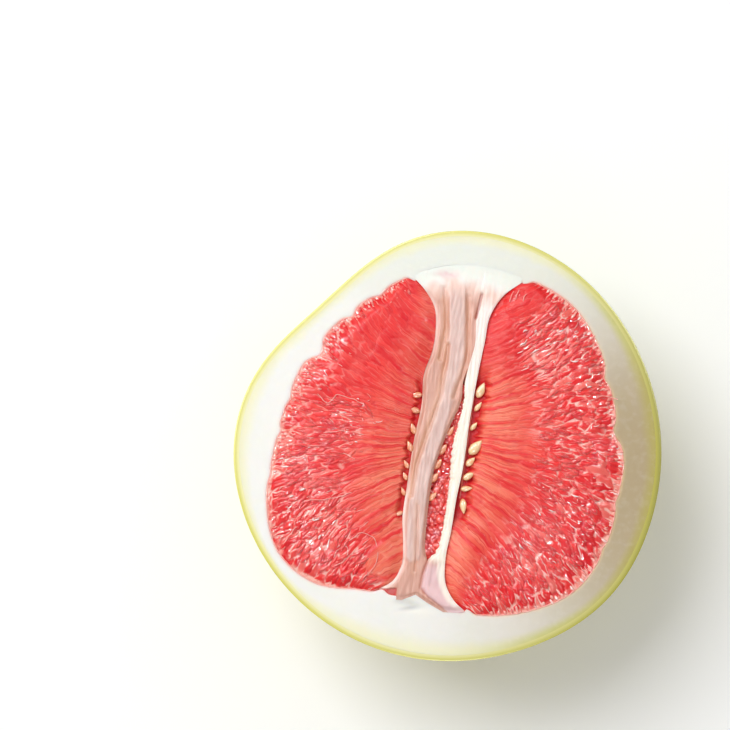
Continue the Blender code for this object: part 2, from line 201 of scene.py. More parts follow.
def own_place(tree):
    """Where a point of the surface lies, in metres."""
    return node(tree, "ShaderNodeTexCoord").outputs["Object"]


def facing_up(tree):
    """1 where a surface looks up, 0 where it stands upright."""
    return axis(tree, node(tree, "ShaderNodeNewGeometry").outputs["Normal"], "Z")


def attribute(tree, name, output="Fac"):
    """A stored value of the mesh, in a material."""
    return node(tree, "ShaderNodeAttribute", attribute_name=name).outputs[output]


def stored(tree, name, kind="FLOAT"):
    """A stored value of the mesh, in a geometry tree."""
    return node(tree, "GeometryNodeInputNamedAttribute", {"Name": name}, data_type=kind).outputs[0]


def ramp(tree, value, low, high):
    """0 where the value is at low, 1 at high, and a soft rise between."""
    made = node(tree, "ShaderNodeMapRange", {"Value": value, "From Min": low, "From Max": high},
                interpolation_type="SMOOTHSTEP")
    return made.outputs["Result"]


def blend_colour(tree, factor, first, second):
    """Two colours mixed by a factor."""
    made = node(tree, "ShaderNodeMix", data_type="RGBA", blend_type="MIX")
    for index, value in ((0, factor), (6, first), (7, second)):
        if isinstance(value, bpy.types.NodeSocket):
            tree.links.new(value, made.inputs[index])
        elif index == 0:
            made.inputs[index].default_value = value
        else:
            made.inputs[index].default_value = (*value, 1.0)
    return made.outputs[2]


def layered(tree, colour, layers):
    """A colour with others laid over it, each by its own share."""
    for share, over in layers:
        colour = blend_colour(tree, share, colour, over)
    return colour


def dress(tree, shader, colour, height=None, strength=0.0, distance=0.0):
    """Gives a material its colour and the fine grain of its surface."""
    tree.links.new(colour, shader.inputs["Base Color"])
    if height is not None:
        bump = node(tree, "ShaderNodeBump", {"Height": height, "Strength": strength, "Distance": distance})
        tree.links.new(bump.outputs[0], shader.inputs["Normal"])


def new_finish(name, roughness, **constants):
    """A material with its shader, whose constant values sit on the shader's own sockets."""
    finish = bpy.data.materials.new(name)
    finish.use_nodes = True
    tree = finish.node_tree
    shader = tree.nodes["Principled BSDF"]
    shader.inputs["Roughness"].default_value = roughness
    for key, value in constants.items():
        shader.inputs[key.replace("_", " ")].default_value = value
    return finish, tree, shader


def new_tree(name, sockets):
    """An empty Geometry Nodes tree with a mesh in, a mesh out and named inputs."""
    tree = bpy.data.node_groups.new(name, "GeometryNodeTree")
    tree.interface.new_socket("Geometry", in_out="INPUT", socket_type="NodeSocketGeometry")
    tree.interface.new_socket("Geometry", in_out="OUTPUT", socket_type="NodeSocketGeometry")
    for label, kind, value in sockets:
        socket = tree.interface.new_socket(label, in_out="INPUT", socket_type="NodeSocket" + kind)
        if value is not None:
            socket.default_value = value
    return tree, node(tree, "NodeGroupInput"), node(tree, "NodeGroupOutput")


def push_out(tree, geometry, amount):
    """A surface moved along its own normals."""
    normal = node(tree, "GeometryNodeInputNormal").outputs[0]
    push = node(tree, "ShaderNodeVectorMath", {0: normal, "Scale": amount}, operation="SCALE").outputs[0]
    return node(tree, "GeometryNodeSetPosition", {"Geometry": geometry, "Offset": push}).outputs[0]


def ripples(tree, scale, amount):
    """Smooth noise over a surface, from minus an amount to plus."""
    wave = cloudy(tree, node(tree, "GeometryNodeInputPosition").outputs[0], scale, 1.0)
    return times(tree, minus(tree, wave, 0.5), times(tree, amount, 2.0))


def close_tree(tree, start, end, geometry):
    """Ends a tree in real geometry, smooth, with its material."""
    smooth = node(tree, "GeometryNodeSetShadeSmooth", {"Geometry": geometry})
    real = node(tree, "GeometryNodeRealizeInstances", {"Geometry": smooth.outputs[0]})
    painted = node(tree, "GeometryNodeSetMaterial",
                   {"Geometry": real.outputs[0], "Material": start.outputs["Material"]})
    tree.links.new(painted.outputs[0], end.inputs[0])


def grow(piece, tree, values):
    """Runs a tree on a piece and keeps the result as the piece's plain mesh."""
    modifier = piece.modifiers.new(tree.name, "NODES")
    modifier.node_group = tree
    for item in tree.interface.items_tree:
        if item.in_out == "INPUT" and item.name in values:
            modifier[item.identifier] = values[item.name]
    graph = bpy.context.evaluated_depsgraph_get()
    mesh = bpy.data.meshes.new_from_object(piece.evaluated_get(graph), preserve_all_data_layers=True,
                                           depsgraph=graph)
    piece.modifiers.clear()
    piece.data = mesh
    return piece


# The pits and soft lumps of the skin.
skin_tree, skin_in, skin_out = new_tree("skin_relief", [
    ("Pit spacing", "Float", PIT_SPACING), ("Pit depth", "Float", 0.00009),
    ("Lump height", "Float", 0.00035), ("Material", "Material", None)])
where = node(skin_tree, "GeometryNodeInputPosition").outputs[0]
cells = node(skin_tree, "ShaderNodeTexVoronoi", {
    "Vector": where, "Scale": maths(skin_tree, "DIVIDE", 1.0, skin_in.outputs["Pit spacing"])})
pit = ramp(skin_tree, cells.outputs["Distance"], 0.42, 0.05)
lumps = minus(skin_tree, cloudy(skin_tree, where, 55.0, 2.0), 0.5)
rise = times(skin_tree, lumps, skin_in.outputs["Lump height"])
rise = minus(skin_tree, rise, times(skin_tree, pit, skin_in.outputs["Pit depth"]))
rise = times(skin_tree, rise, stored(skin_tree, "outside"))
close_tree(skin_tree, skin_in, skin_out, push_out(skin_tree, skin_in.outputs[0], rise))

flat_lean = math.acos(1.0 - FLAT_RISE / DEPTH)
rows = []
for lean in np.linspace(flat_lean, math.pi / 2, 12):
    share = math.sin(lean)
    reach = (cut_edge(ANGLES, share) - PEEL) * share
    rows.append((ring(reach, sunk(share, ANGLES, DEPTH - PEEL)), 0.0, 0.0))
for across, height in ((0.0, 0.0), (0.02, 0.0), (0.35, 0.02), (0.7, 0.02), (0.96, 0.0), (1.0, -0.06)):
    rows.append((ring(cut_edge(ANGLES) - PEEL + PEEL * across, height), 0.0, 1.0 - across))
for lean in np.linspace(math.pi / 2 - 0.004, flat_lean, SKIN_RINGS):
    share = math.sin(lean)
    depth = np.maximum(sunk(share, ANGLES, DEPTH), -FACE) if lean > flat_lean else -FACE
    outside = min(1.0, (lean - flat_lean) / FLAT_FADE) * min(1.0, (math.pi / 2 - lean) / CUT_FADE)
    rows.append((ring(cut_edge(ANGLES, share) * share, depth), outside, 0.0))
peel = bowl("peel_skin", ("outside", "rim"), rows)

peel_finish, tree, shader = new_finish("peel_wax", 0.4, Specular_IOR_Level=0.45, Coat_Roughness=0.32,
                                       Coat_Weight=0.25)
place = own_place(tree)
patches = cloudy(tree, place, 24.0, 3.0)
stem_green = ramp(tree, plus(tree, axis(tree, place, "Y"), times(tree, patches, 0.03)), 0.02, 0.085)
glands = node(tree, "ShaderNodeTexVoronoi", {"Vector": place, "Scale": 1.0 / PIT_SPACING})
glands = glands.outputs["Distance"]
edge, shade = attribute(tree, "rim"), attribute(tree, "shade")
# Painted shade: the peel's colours pass from lit copies to darker shaded copies towards the right.
outer_colour = blend_colour(tree, shade, (0.66, 0.62, 0.08), (0.30, 0.28, 0.010))
inner_colour = blend_colour(tree, shade, (0.86, 0.82, 0.40), (0.45, 0.40, 0.030))
edge_colour = blend_colour(tree, ramp(tree, edge, 0.1, 1.0), outer_colour, inner_colour)
colour = layered(tree, (0.72, 0.62, 0.035), [
    (ramp(tree, patches, 0.3, 0.7), (0.80, 0.72, 0.075)),
    (times(tree, stem_green, 0.75), (0.36, 0.50, 0.04)),
    (times(tree, ramp(tree, glands, 0.34, 0.16), 0.62), (0.42, 0.42, 0.03)),
    (ramp(tree, edge, 0.0, 0.05), edge_colour)])
height = plus(tree, times(tree, ramp(tree, glands, 0.05, 0.4), 0.6),
              times(tree, cloudy(tree, place, 900.0, 2.0), 0.25))
dress(tree, shader, colour, height, 0.35, 0.0002)
grow(peel, skin_tree, {"Pit spacing": PIT_SPACING, "Material": peel_finish})
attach(peel, "root")
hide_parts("peel")

# THE PITH
# The thick white spongy coat under the peel. The knife left it smooth and matte, with a soft lip
# where the flesh swells against it, and it runs in between the flesh's lobes as short teeth.

CAVITY_EDGE = [
    (0, 61.8), (12, 59.8), (25, 60.2), (40, 63.0), (54, 65.3), (68, 64.6), (80, 62.8), (95, 62.8),
    (110, 60.3), (125, 58.2), (140, 57.6), (158, 58.2), (175, 58.9), (190, 61.6), (205, 67.2),
    (220, 71.0), (233, 68.0), (246, 60.0), (262, 56.6), (280, 59.6), (300, 64.6), (318, 67.9),
    (335, 65.3), (350, 62.3)]
CAVITY_DEPTH = 61.0
TEETH = [
    (108.4, 2.2, 1.1), (71.2, 2.2, 1.1), (283.2, 1.8, 1.0), (264.6, 2.4, 3.0), (252.4, 1.4, 1.3),
    (152.0, 3.2, 2.6), (134.2, 1.7, 1.6), (121.5, 1.2, 1.8), (171.0, 0.8, 1.6), (183.0, 0.9, 1.2),
    (197.0, 0.6, 1.4), (10.4, 1.9, 2.4), (29.0, 1.3, 2.0), (347.0, 0.7, 1.5), (332.0, 0.6, 1.2)]
PITH_RINGS = 40
LIP = 0.35


def hermite(knots, values, at):
    """Values read at places along a smooth curve through the given ones."""
    slopes = np.gradient(values, knots, axis=0)
    spot = np.clip(np.searchsorted(knots, at, side="right") - 1, 0, len(knots) - 2)
    span = knots[spot + 1] - knots[spot]
    t = (at - knots[spot]) / span
    if values.ndim == 2:
        t = t[:, None]
        span = span[:, None]
    start = values[spot] * (2 * t ** 3 - 3 * t ** 2 + 1) + slopes[spot] * span * (t ** 3 - 2 * t ** 2 + t)
    end = values[spot + 1] * (3 * t ** 2 - 2 * t ** 3) + slopes[spot + 1] * span * (t ** 3 - t ** 2)
    return start + end


def cavity_edge(angle):
    """Distance from the centre to where the pith ends and the flesh begins."""
    table = np.array(CAVITY_EDGE, float)
    knots = np.concatenate((table[-3:, 0] - 360.0, table[:, 0], table[:3, 0] + 360.0))
    values = np.concatenate((table[-3:, 1], table[:, 1], table[:3, 1]))
    reach = hermite(knots, values, np.atleast_1d(angle) % 360.0)
    for centre, height, spread in TEETH:
        away = (np.atleast_1d(angle) - centre + 180.0) % 360.0 - 180.0
        reach = reach - height * np.exp(-0.5 * (away / spread) ** 2)
    return reach


def smooth_step(low, high, value):
    """0 at low, 1 at high and a soft rise between them."""
    t = np.clip((np.asarray(value, float) - low) / (high - low), 0.0, 1.0)
    return t * t * (3.0 - 2.0 * t)


def rough(points, size, seed=0.0):
    """Smooth noise of about unit height at points in millimetres."""
    return np.array([noise.noise(Vector((x / size, y / size, z / size + seed))) for x, y, z in points])


def grounded(points):
    """Flat points with a height of nought."""
    return np.column_stack([points, 0.0 * points[:, 0]])


rows = []
lip_edge = cavity_edge(ANGLES)
skin_edge = cut_edge(ANGLES) - PEEL + 0.3
at_core = np.exp(-(((ANGLES - 90.0) / 19.0) ** 8)) + np.exp(-(((ANGLES - 267.0) / 15.5) ** 8))
for lean in np.linspace(flat_lean, math.pi / 2 - 0.02, 16):
    share = math.sin(lean)
    rows.append((ring(lip_edge * share, sunk(share, ANGLES, CAVITY_DEPTH)), 0.0, 1.0 - at_core, 0.0))
for step in range(PITH_RINGS + 1):
    across = step / PITH_RINGS
    reach = lip_edge + (skin_edge - lip_edge) * across ** 1.3
    from_lip = reach - lip_edge
    here = ring(reach, -LIP * np.exp(-from_lip / 0.4) * (1.0 - at_core))
    pit = ((here[:, 0] + 7.2) / 4.4) ** 2 + ((here[:, 1] + 58.2) / 1.5) ** 2
    here[:, 2] -= 1.3 * np.exp(-pit)
    # Painted shade: grey in the small pit at the blossom end.
    pit_shade = ((here[:, 0] + 6.6) / 3.4) ** 2 + ((here[:, 1] + 58.9 - 0.25 * (here[:, 0] + 6.6)) / 0.8) ** 2
    fade = float(smooth_step(1.0, 0.8, across))
    here[:, 2] += fade * (0.16 * rough(here, 9.0, 3.0) + 0.05 * rough(here, 2.2, 9.0)) - 0.01
    rows.append((here, across, np.exp(-from_lip / 0.35) * (1.0 - at_core), np.exp(-pit_shade)))
for lean in np.linspace(math.pi / 2 - 0.03, flat_lean, 12):
    share = math.sin(lean)
    reach = (cut_edge(ANGLES, share) - PEEL - GAP) * share
    rows.append((ring(reach, sunk(share, ANGLES, DEPTH - PEEL - GAP)), 1.0, 0.0, 0.0))
pith = bowl("pith_coat", ("outward", "lip", "pit_shade"), rows)


def new_group(name, inputs, outputs):
    """An empty shader node group with its named sockets."""
    group = bpy.data.node_groups.new(name, "ShaderNodeTree")
    for way, sockets in (("INPUT", inputs), ("OUTPUT", outputs)):
        for label, kind in sockets:
            group.interface.new_socket(label, in_out=way, socket_type="NodeSocket" + kind)
    return group, node(group, "NodeGroupInput"), node(group, "NodeGroupOutput")


# The colour of the pith, for the coat and for the caps of the core, with painted shade that darkens it to
# olive towards the right.
pith_colour, pith_in, pith_out = new_group(
    "pith_colour", [("Outward", "Float"), ("Shade", "Float")], [("Color", "Color"), ("Height", "Float")])
tree = pith_colour
place = own_place(tree)
cloud = cloudy(tree, place, 60.0, 4.0)
fibre = cloudy(tree, place, 420.0, 3.0)
uneven = times(tree, minus(tree, cloud, 0.5), 0.03)
shade = ramp(tree, plus(tree, pith_in.outputs["Shade"], uneven), 0.02, 1.05)
green = layered(tree, (0.88, 0.85, 0.55), [
    (ramp(tree, shade, 0.0, 0.5), (0.56, 0.54, 0.13)), (ramp(tree, shade, 0.5, 1.0), (0.45, 0.38, 0.08))])
colour = layered(tree, (0.88, 0.87, 0.83), [
    (ramp(tree, cloud, 0.35, 0.7), (0.86, 0.86, 0.80)),
    (times(tree, ramp(tree, axis(tree, place, "Y"), 0.035, 0.062), 0.6), (0.76, 0.79, 0.70)),
    (shade, (0.44, 0.34, 0.19)),
    (times(tree, ramp(tree, pith_in.outputs["Outward"], 0.66, 1.0), 0.9), green),
    (times(tree, ramp(tree, fibre, 0.45, 0.75), 0.06), (0.98, 0.97, 0.94))])
tree.links.new(colour, pith_out.inputs["Color"])
tree.links.new(fibre, pith_out.inputs["Height"])

pith_finish, tree, shader = new_finish("pith_sponge", 0.72, Subsurface_Scale=0.002, Specular_IOR_Level=0.3,
                                       Subsurface_Weight=0.35, Subsurface_Radius=(1.0, 0.8, 0.5))
shade = attribute(tree, "shade")
coat = node(tree, "ShaderNodeGroup", {"Outward": attribute(tree, "outward"), "Shade": shade},
            node_tree=pith_colour)
lip_colour = blend_colour(tree, ramp(tree, shade, 0.1, 0.6), (0.93, 0.52, 0.44), (0.86, 0.56, 0.30))
colour = layered(tree, coat.outputs["Color"], [
    (attribute(tree, "lip"), lip_colour), (times(tree, attribute(tree, "pit_shade"), 0.6), (0.36, 0.37, 0.38))])
dress(tree, shader, colour, coat.outputs["Height"], 0.25, 0.0003)
pith.data.materials.append(pith_finish)
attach(pith, "root")
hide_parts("pith")

# THE FLESH
# Hundreds of juice sacs, thin skinned and full, each on a thread from the pith and pointing at the
# core. They lie closed and fibrous by the core and short, round and wet farther out, with small
# round beads of them along the rim.

CORE_LEFT = [
    (-18.6, 56.2), (-14.6, 52.6), (-10.6, 47.0), (-9.3, 40.0), (-9.6, 31.0), (-11.4, 23.5), (-11.0, 13.0),
    (-12.2, -1.0), (-12.7, -16.0), (-12.9, -29.0), (-11.6, -38.0), (-11.4, -44.5), (-13.8, -50.4),
    (-18.6, -54.0)]
CORE_RIGHT = [
    (19.0, 59.2), (13.4, 54.0), (9.5, 46.6), (8.4, 36.0), (7.4, 25.0), (6.4, 8.0), (6.0, -8.0),
    (4.9, -20.0), (4.4, -31.0), (3.6, -41.0), (4.8, -49.5), (8.6, -55.0), (12.4, -57.8)]
LEFT_ARC = (109.5, 250.5)
RIGHT_ARC = (70.0, -76.5)
CROWN = 2.1
CORE_DROP = 0.5
RIM_DROP = 0.45
CELL_WIDTH = 1.7
CELL_LENGTHS = (16.0, 5.4)
HOLLOW_DEPTH = 2.0
BED_STEPS = 210
BED_LINES = 440
UNDER_STEP = 10
LOOSE_SACS = 300
SCRAPS = 900
# small round sacs in each row along the rim
BEAD_ROWS = {-1: (74, 66, 54, 30), 1: (74, 26)}
# soft round swellings: x, y and reach
BULGES = {-1: (-17.3, -43.1, 6.6), 1: (20.5, 53.0, 6.8)}
# places where the sacs lie open and wet, and where painted glints gather: x, y and reach
WET_SPOTS = {
    -1: [(-45.0, -33.0, 13.0), (-54.0, -14.0, 8.0), (-50.0, 19.0, 7.0), (-44.5, 31.0, 6.0),
         (-37.0, 3.0, 7.0)],
    1: [(29.5, 37.5, 8.5), (44.0, 40.0, 8.0), (52.0, 26.0, 7.0), (55.0, 6.0, 6.0), (44.0, -27.0, 10.0),
        (32.0, -37.0, 8.0)]}
# long pale threads of torn skin, each along a few places
TORN_LINES = {
    -1: [[(-47.6, 11.2), (-43.7, 8.5), (-40.9, 11.7), (-36.3, 11.2), (-30.5, 9.4)],
         [(-57.0, -7.9), (-48.0, -7.0), (-39.3, -7.3), (-32.0, -9.9)],
         [(-47.7, -26.3), (-39.0, -24.6), (-31.9, -21.6)],
         [(-53.5, -42.2), (-48.1, -34.5), (-40.1, -30.7)],
         [(-44.0, -2.0), (-37.0, -0.6), (-30.0, -1.0)],
         [(-30.5, -38.3), (-27.0, -35.3), (-22.8, -36.0), (-20.3, -40.4), (-20.6, -46.0), (-24.0, -50.4)],
         [(-35.3, -44.9), (-34.0, -41.9), (-31.4, -40.3), (-30.4, -42.4), (-32.1, -46.1), (-34.8, -47.8)]],
    1: [[(24.0, 33.0), (29.0, 37.6), (34.5, 40.0)],
        [(15.4, 51.7), (15.7, 53.6), (16.4, 55.4)],
        [(17.4, 52.7), (17.7, 54.6), (18.4, 56.4)],
        [(20.0, 52.3), (20.3, 53.9), (21.0, 55.2)],
        [(47.0, 20.0), (52.0, 22.6), (57.0, 22.0)],
        [(26.0, -30.0), (33.0, -33.6), (38.0, -38.5), (40.0, -42.5)]]}


def along(points, fractions):
    """Points at fractions of the length of a smooth curve through a few given ones."""
    values = np.array(points, float)
    steps = np.linalg.norm(np.diff(values, axis=0), axis=1)
    knots = np.concatenate(([0.0], np.cumsum(steps)))
    return hermite(knots, values, np.asarray(fractions, float) * knots[-1])


def line_x(line, y):
    """Where a line that runs downwards crosses the heights y."""
    line = np.array(line, float)[::-1]
    return hermite(line[:, 1], line[:, 0], np.clip(y, line[0, 1], line[-1, 1]))


def fan(side, u, v):
    """Points of one lobe's face: u runs from the core to the pith, v from stem end to blossom end."""
    u = np.atleast_1d(np.asarray(u, float))
    v = np.clip(np.atleast_1d(np.asarray(v, float)), 0.0, 1.0)
    core_edge, arc = (CORE_LEFT, LEFT_ARC) if side < 0 else (CORE_RIGHT, RIGHT_ARC)
    spread = 2.0 * v - 1.0
    inner = along(core_edge, 0.5 + 0.5 * (0.38 * spread + 0.62 * spread ** 5))
    inner[:, 0] += side * 0.02
    turn = arc[0] + (arc[1] - arc[0]) * v
    reach = cavity_edge(turn) - 0.4 * GAP
    outer = turned_to(reach, turn)
    length = np.linalg.norm(outer - inner, axis=1)[:, None]
    lead = 0.55 * (outer - inner) / np.maximum(length, 0.1)
    lead[:, 0] += side * 0.45
    bend = inner + lead * 0.42 * length
    u = u[:, None]
    return (1 - u) ** 2 * inner + 2 * u * (1 - u) * bend + u ** 2 * outer


def fan_length(side, v):
    """Straight length of the fan's lines."""
    return np.linalg.norm(fan(side, 1.0 + 0.0 * v, v) - fan(side, 0.0 * v, v), axis=1)


def sac_cells(side, u, v, points):
    """Numbers that grow by one for each sac along and across a lobe, bent a little at random."""
    table = np.linspace(0.0, 1.0, 240)
    widths = np.linalg.norm(np.diff(fan(side, 0.0 * table + 0.6, table), axis=0), axis=1)
    across = np.interp(v, table, np.concatenate(([0.0], np.cumsum(widths)))) / CELL_WIDTH
    lengths = CELL_LENGTHS[0] + (CELL_LENGTHS[1] - CELL_LENGTHS[0]) * smooth_step(0.15, 0.75, table)
    counted = np.concatenate(([0.0], np.cumsum(0.5 * (1 / lengths[1:] + 1 / lengths[:-1]))))
    counted = counted / (len(table) - 1)
    outward = fan_length(side, v) * np.interp(u, table, counted)
    outward = outward + 0.5 * rough(points, 6.0, 11.0 + side)
    across = across + 0.6 * rough(points, 8.0, 21.0 + side) + 0.28 * rough(points, 2.4, 31.0 + side)
    return np.column_stack([outward, across, 0.0 * u])


def top_level(side, u, v):
    """Height of the flesh above the cut: swollen in the middle, low at the core and the pith."""
    fade = np.minimum(1.0, fan_length(side, v) / 30.0)
    drop = CORE_DROP + (RIM_DROP - CORE_DROP) * u
    plateau = smooth_step(-0.10, 0.34, u) * (1.0 - smooth_step(0.84, 1.03, u))
    return -drop + (CROWN + drop) * plateau * fade


def near_spots(points, spots):
    """1 at the middle of any of the spots, falling to 0 round them."""
    best = np.zeros(len(points))
    for x0, y0, wide in spots:
        best = np.maximum(best, np.exp(-(((points[:, 0] - x0) ** 2 + (points[:, 1] - y0) ** 2) / wide ** 2)))
    return best


def bulge_share(side, points):
    """Distance from the middle of a lobe's swelling, 1 at its uneven edge."""
    x0, y0, wide = BULGES[side]
    turn = np.arctan2(points[:, 1] - y0, points[:, 0] - x0)
    uneven = 1.0 + 0.12 * np.sin(2.0 * turn + 0.6) + 0.07 * np.sin(3.0 * turn + x0)
    return np.hypot(points[:, 0] - x0, points[:, 1] - y0) / wide / uneven


def calm(side, points, u):
    """1 where the sacs lie smooth and closed, 0 where they stand loose."""
    y = points[:, 1]
    closed = smooth_step(0.66, 0.38, u)
    if side < 0:
        closed = np.maximum(closed, smooth_step(-6.0, 14.0, y) * smooth_step(0.97, 0.88, u))
    else:
        closed = np.maximum(closed, 0.8 * smooth_step(36.0, 48.0, y) * smooth_step(0.8, 0.5, u))
    closed = np.maximum(closed, smooth_step(1.15, 0.9, bulge_share(side, points)))
    return closed * (1.0 - 0.75 * near_spots(points, WET_SPOTS[side]))


def warmth(side, points, u):
    """1 where the flesh is salmon, 0 where it is red."""
    y = points[:, 1]
    warm = smooth_step(0.60, 0.22, u)
    if side < 0:
        warm = warm * (0.5 + 0.5 * smooth_step(10.0, -8.0, y))
        return np.maximum(warm, smooth_step(1.3, 0.7, bulge_share(side, points)))
    return warm * smooth_step(36.0, 20.0, y)


def seed_hollow(side, points):
    """1 in the hollow along the core where the seeds sit, 0 outside it, with a ragged edge."""
    y = points[:, 1]
    ragged = 2.2 * rough(np.column_stack([points[:, 0] * 0.25, y, 0.0 * y]), 1.5, 41.0)
    if side < 0:
        away = line_x(CORE_LEFT, y) - points[:, 0] + 0.6 * ragged
        return 0.8 * smooth_step(3.0, 1.0, away) * smooth_step(23.0, 17.0, y) * smooth_step(-32.0, -25.0, y)
    away = points[:, 0] - line_x(CORE_RIGHT, y) + ragged
    return smooth_step(5.6, 2.6, away) * smooth_step(30.0, 21.0, y) * smooth_step(-31.0, -24.0, y)


def cell_nodes(tree, cells):
    """The sac that a place belongs to: how far its edge is, a random number and its middle."""
    edge = node(tree, "ShaderNodeTexVoronoi", {"Vector": cells, "Scale": 1.0, "Randomness": 0.9},
                voronoi_dimensions="2D", feature="DISTANCE_TO_EDGE").outputs["Distance"]
    whole = node(tree, "ShaderNodeTexVoronoi", {"Vector": cells, "Scale": 1.0, "Randomness": 0.9},
                 voronoi_dimensions="2D")
    return edge, whole.outputs["Color"], whole.outputs["Position"]


# The relief of the closed sacs, each a low dome that leans its own way.
bed_tree, bed_in, bed_out = new_tree("sac_relief", [
    ("Lean", "Float", 0.9), ("Fibre height", "Float", 0.00016), ("Material", "Material", None)])
tree = bed_tree
cells = stored(tree, "cells", "FLOAT_VECTOR")
edge, chance, middle = cell_nodes(tree, cells)
inward = minus(tree, 1.0, node(tree, "ShaderNodeMapRange", {
    "Value": edge, "From Min": 0.0, "From Max": 0.44}).outputs["Result"])
dome = minus(tree, 1.0, maths(tree, "POWER", inward, 2.2))
tall = plus(tree, 0.55, times(tree, axis(tree, chance, "X"), 0.75))
offset = node(tree, "ShaderNodeVectorMath", {0: cells, 1: middle}, operation="SUBTRACT").outputs[0]
swing = node(tree, "ShaderNodeVectorMath", {0: chance, 1: (0.5, 0.5, 0.5)}, operation="SUBTRACT").outputs[0]
slope = node(tree, "ShaderNodeVectorMath", {0: offset, 1: swing}, operation="DOT_PRODUCT").outputs["Value"]
tall = plus(tree, tall, times(tree, slope, bed_in.outputs["Lean"]))
rise = times(tree, times(tree, dome, tall), stored(tree, "loft"))
fibre = minus(tree, cloudy(tree, stretched(tree, cells, (0.6, 3.6, 1.0)), 1.0, 2.0), 0.5)
fibre = times(tree, fibre, times(tree, stored(tree, "still"), bed_in.outputs["Fibre height"]))
lift = node(tree, "ShaderNodeCombineXYZ", {"Z": plus(tree, rise, fibre)})
moved = node(tree, "GeometryNodeSetPosition", {"Geometry": bed_in.outputs[0], "Offset": lift.outputs[0]})
close_tree(tree, bed_in, bed_out, moved.outputs[0])

# One tree makes every loose sac, thread and scrap of skin that follows a line.
sac_tree, sac_in, sac_out = new_tree("sacs_on_lines", [
    ("Sides", "Int", 8), ("Squash", "Float", 0.8), ("Wrinkle", "Float", 0.0001),
    ("Wrinkle size", "Float", 0.002), ("Material", "Material", None)])
lines = node(sac_tree, "GeometryNodeMeshToCurve", {"Mesh": sac_in.outputs[0]})
lines = node(sac_tree, "GeometryNodeSetCurveNormal", {"Curve": lines.outputs[0]}, mode="Z_UP")
run = node(sac_tree, "GeometryNodeSplineParameter")
lines = node(sac_tree, "GeometryNodeStoreNamedAttribute",
             {"Geometry": lines.outputs[0], "Name": "along", "Value": run.outputs["Factor"]},
             data_type="FLOAT", domain="POINT")
circle = node(sac_tree, "GeometryNodeCurvePrimitiveCircle",
              {"Resolution": sac_in.outputs["Sides"], "Radius": 1.0})
around = node(sac_tree, "GeometryNodeStoreNamedAttribute",
              {"Geometry": circle.outputs[0], "Name": "around", "Value": run.outputs["Factor"]},
              data_type="FLOAT", domain="POINT")
flat = node(sac_tree, "ShaderNodeCombineXYZ", {"X": sac_in.outputs["Squash"], "Y": 1.0, "Z": 1.0})
oval = node(sac_tree, "GeometryNodeTransform", {"Geometry": around.outputs[0], "Scale": flat.outputs[0]})
tubes = node(sac_tree, "GeometryNodeCurveToMesh",
             {"Curve": lines.outputs[0], "Profile Curve": oval.outputs[0],
              "Scale": stored(sac_tree, "width"), "Fill Caps": True})
closeness = maths(sac_tree, "DIVIDE", 1.0, sac_in.outputs["Wrinkle size"])
wrinkled = push_out(sac_tree, tubes.outputs[0], ripples(sac_tree, closeness, sac_in.outputs["Wrinkle"]))
close_tree(sac_tree, sac_in, sac_out, wrinkled)


def line_piece(name, lines, values):
    """A piece that the tree grows on lines, each of points, half widths, tint, paleness and warmth; the
    palest marks are painted glints.
    """
    points = np.concatenate([line[0] for line in lines])
    floats = {"width": np.concatenate([line[1] for line in lines]) * MM}
    for place, key in ((2, "tint"), (3, "pale"), (4, "warm")):
        floats[key] = np.concatenate([line[place] + 0.0 * line[1] for line in lines])
    edges = []
    start = 0
    for line in lines:
        edges.extend((start + k, start + k + 1) for k in range(len(line[0]) - 1))
        start += len(line[0])
    return grow(piece_from(name, points, [], floats, edges), sac_tree, values)


def sac_profile(t, blunt):
    """Half width of a sac along its length, from its thin tail to its blunter end."""
    tail = np.sin(np.pi * np.clip(t, 0, 1) ** (0.8 + 0.5 * blunt)) ** (0.75 - 0.25 * blunt)
    return 0.04 + 0.96 * np.nan_to_num(tail)


def placed_line(side, u, v, heading, length, curl, count):
    """A short curved line across a lobe's face round the place u, v, turned from the fan's own way."""
    t = np.linspace(0.0, 1.0, count)
    spot = fan(side, u, v)[0]
    ahead = fan(side, min(u + 0.02, 1.0), v)[0] - fan(side, max(u - 0.02, 0.0), v)[0]
    turn = math.atan2(ahead[1], ahead[0]) + heading
    run = (t - 0.5) * length
    bow = curl * np.sin(t * np.pi)
    x = spot[0] + run * math.cos(turn) - bow * math.sin(turn)
    y = spot[1] + run * math.sin(turn) + bow * math.cos(turn)
    return t, np.column_stack([x, y])


def past_edge(flat_points, margin):
    """Whether a line comes nearer to the pith or the core than the margin."""
    x, y = flat_points.T
    outside = np.hypot(x, y) > cavity_edge(np.degrees(np.arctan2(y, x))) - margin
    inside = (x > line_x(CORE_LEFT, y) - margin) & (x < line_x(CORE_RIGHT, y) + margin)
    return bool(np.any(outside | inside))


def loose_sacs(side, seed):
    """Short full sacs that stand out of the bed in the outer part of a lobe."""
    rng = random.Random(seed)
    found = []
    for _ in range(LOOSE_SACS):
        v = rng.uniform(0.03, 0.97)
        u = rng.uniform(0.40, 0.985)
        spot = fan(side, u, v)
        if rng.random() < calm(side, spot, u)[0] * 1.15:
            continue
        length = rng.uniform(4.0, 7.5) * (1.25 - 0.45 * u)
        t, flat_points = placed_line(side, u, v, rng.gauss(0.0, 0.28), length, rng.uniform(-0.5, 0.5), 9)
        size = rng.uniform(0.7, 1.25) * sac_profile(t, rng.uniform(0.3, 0.9))
        if past_edge(flat_points, 0.7):
            continue
        level = top_level(side, u, v)[0] + rng.uniform(-0.25, 0.35)
        z = level - size * 0.55 - 0.4 * (2 * t - 1) ** 2
        warm = warmth(side, spot, u)[0]
        found.append((np.column_stack([flat_points, z]), size, rng.random(), 0.0, warm))
    return found


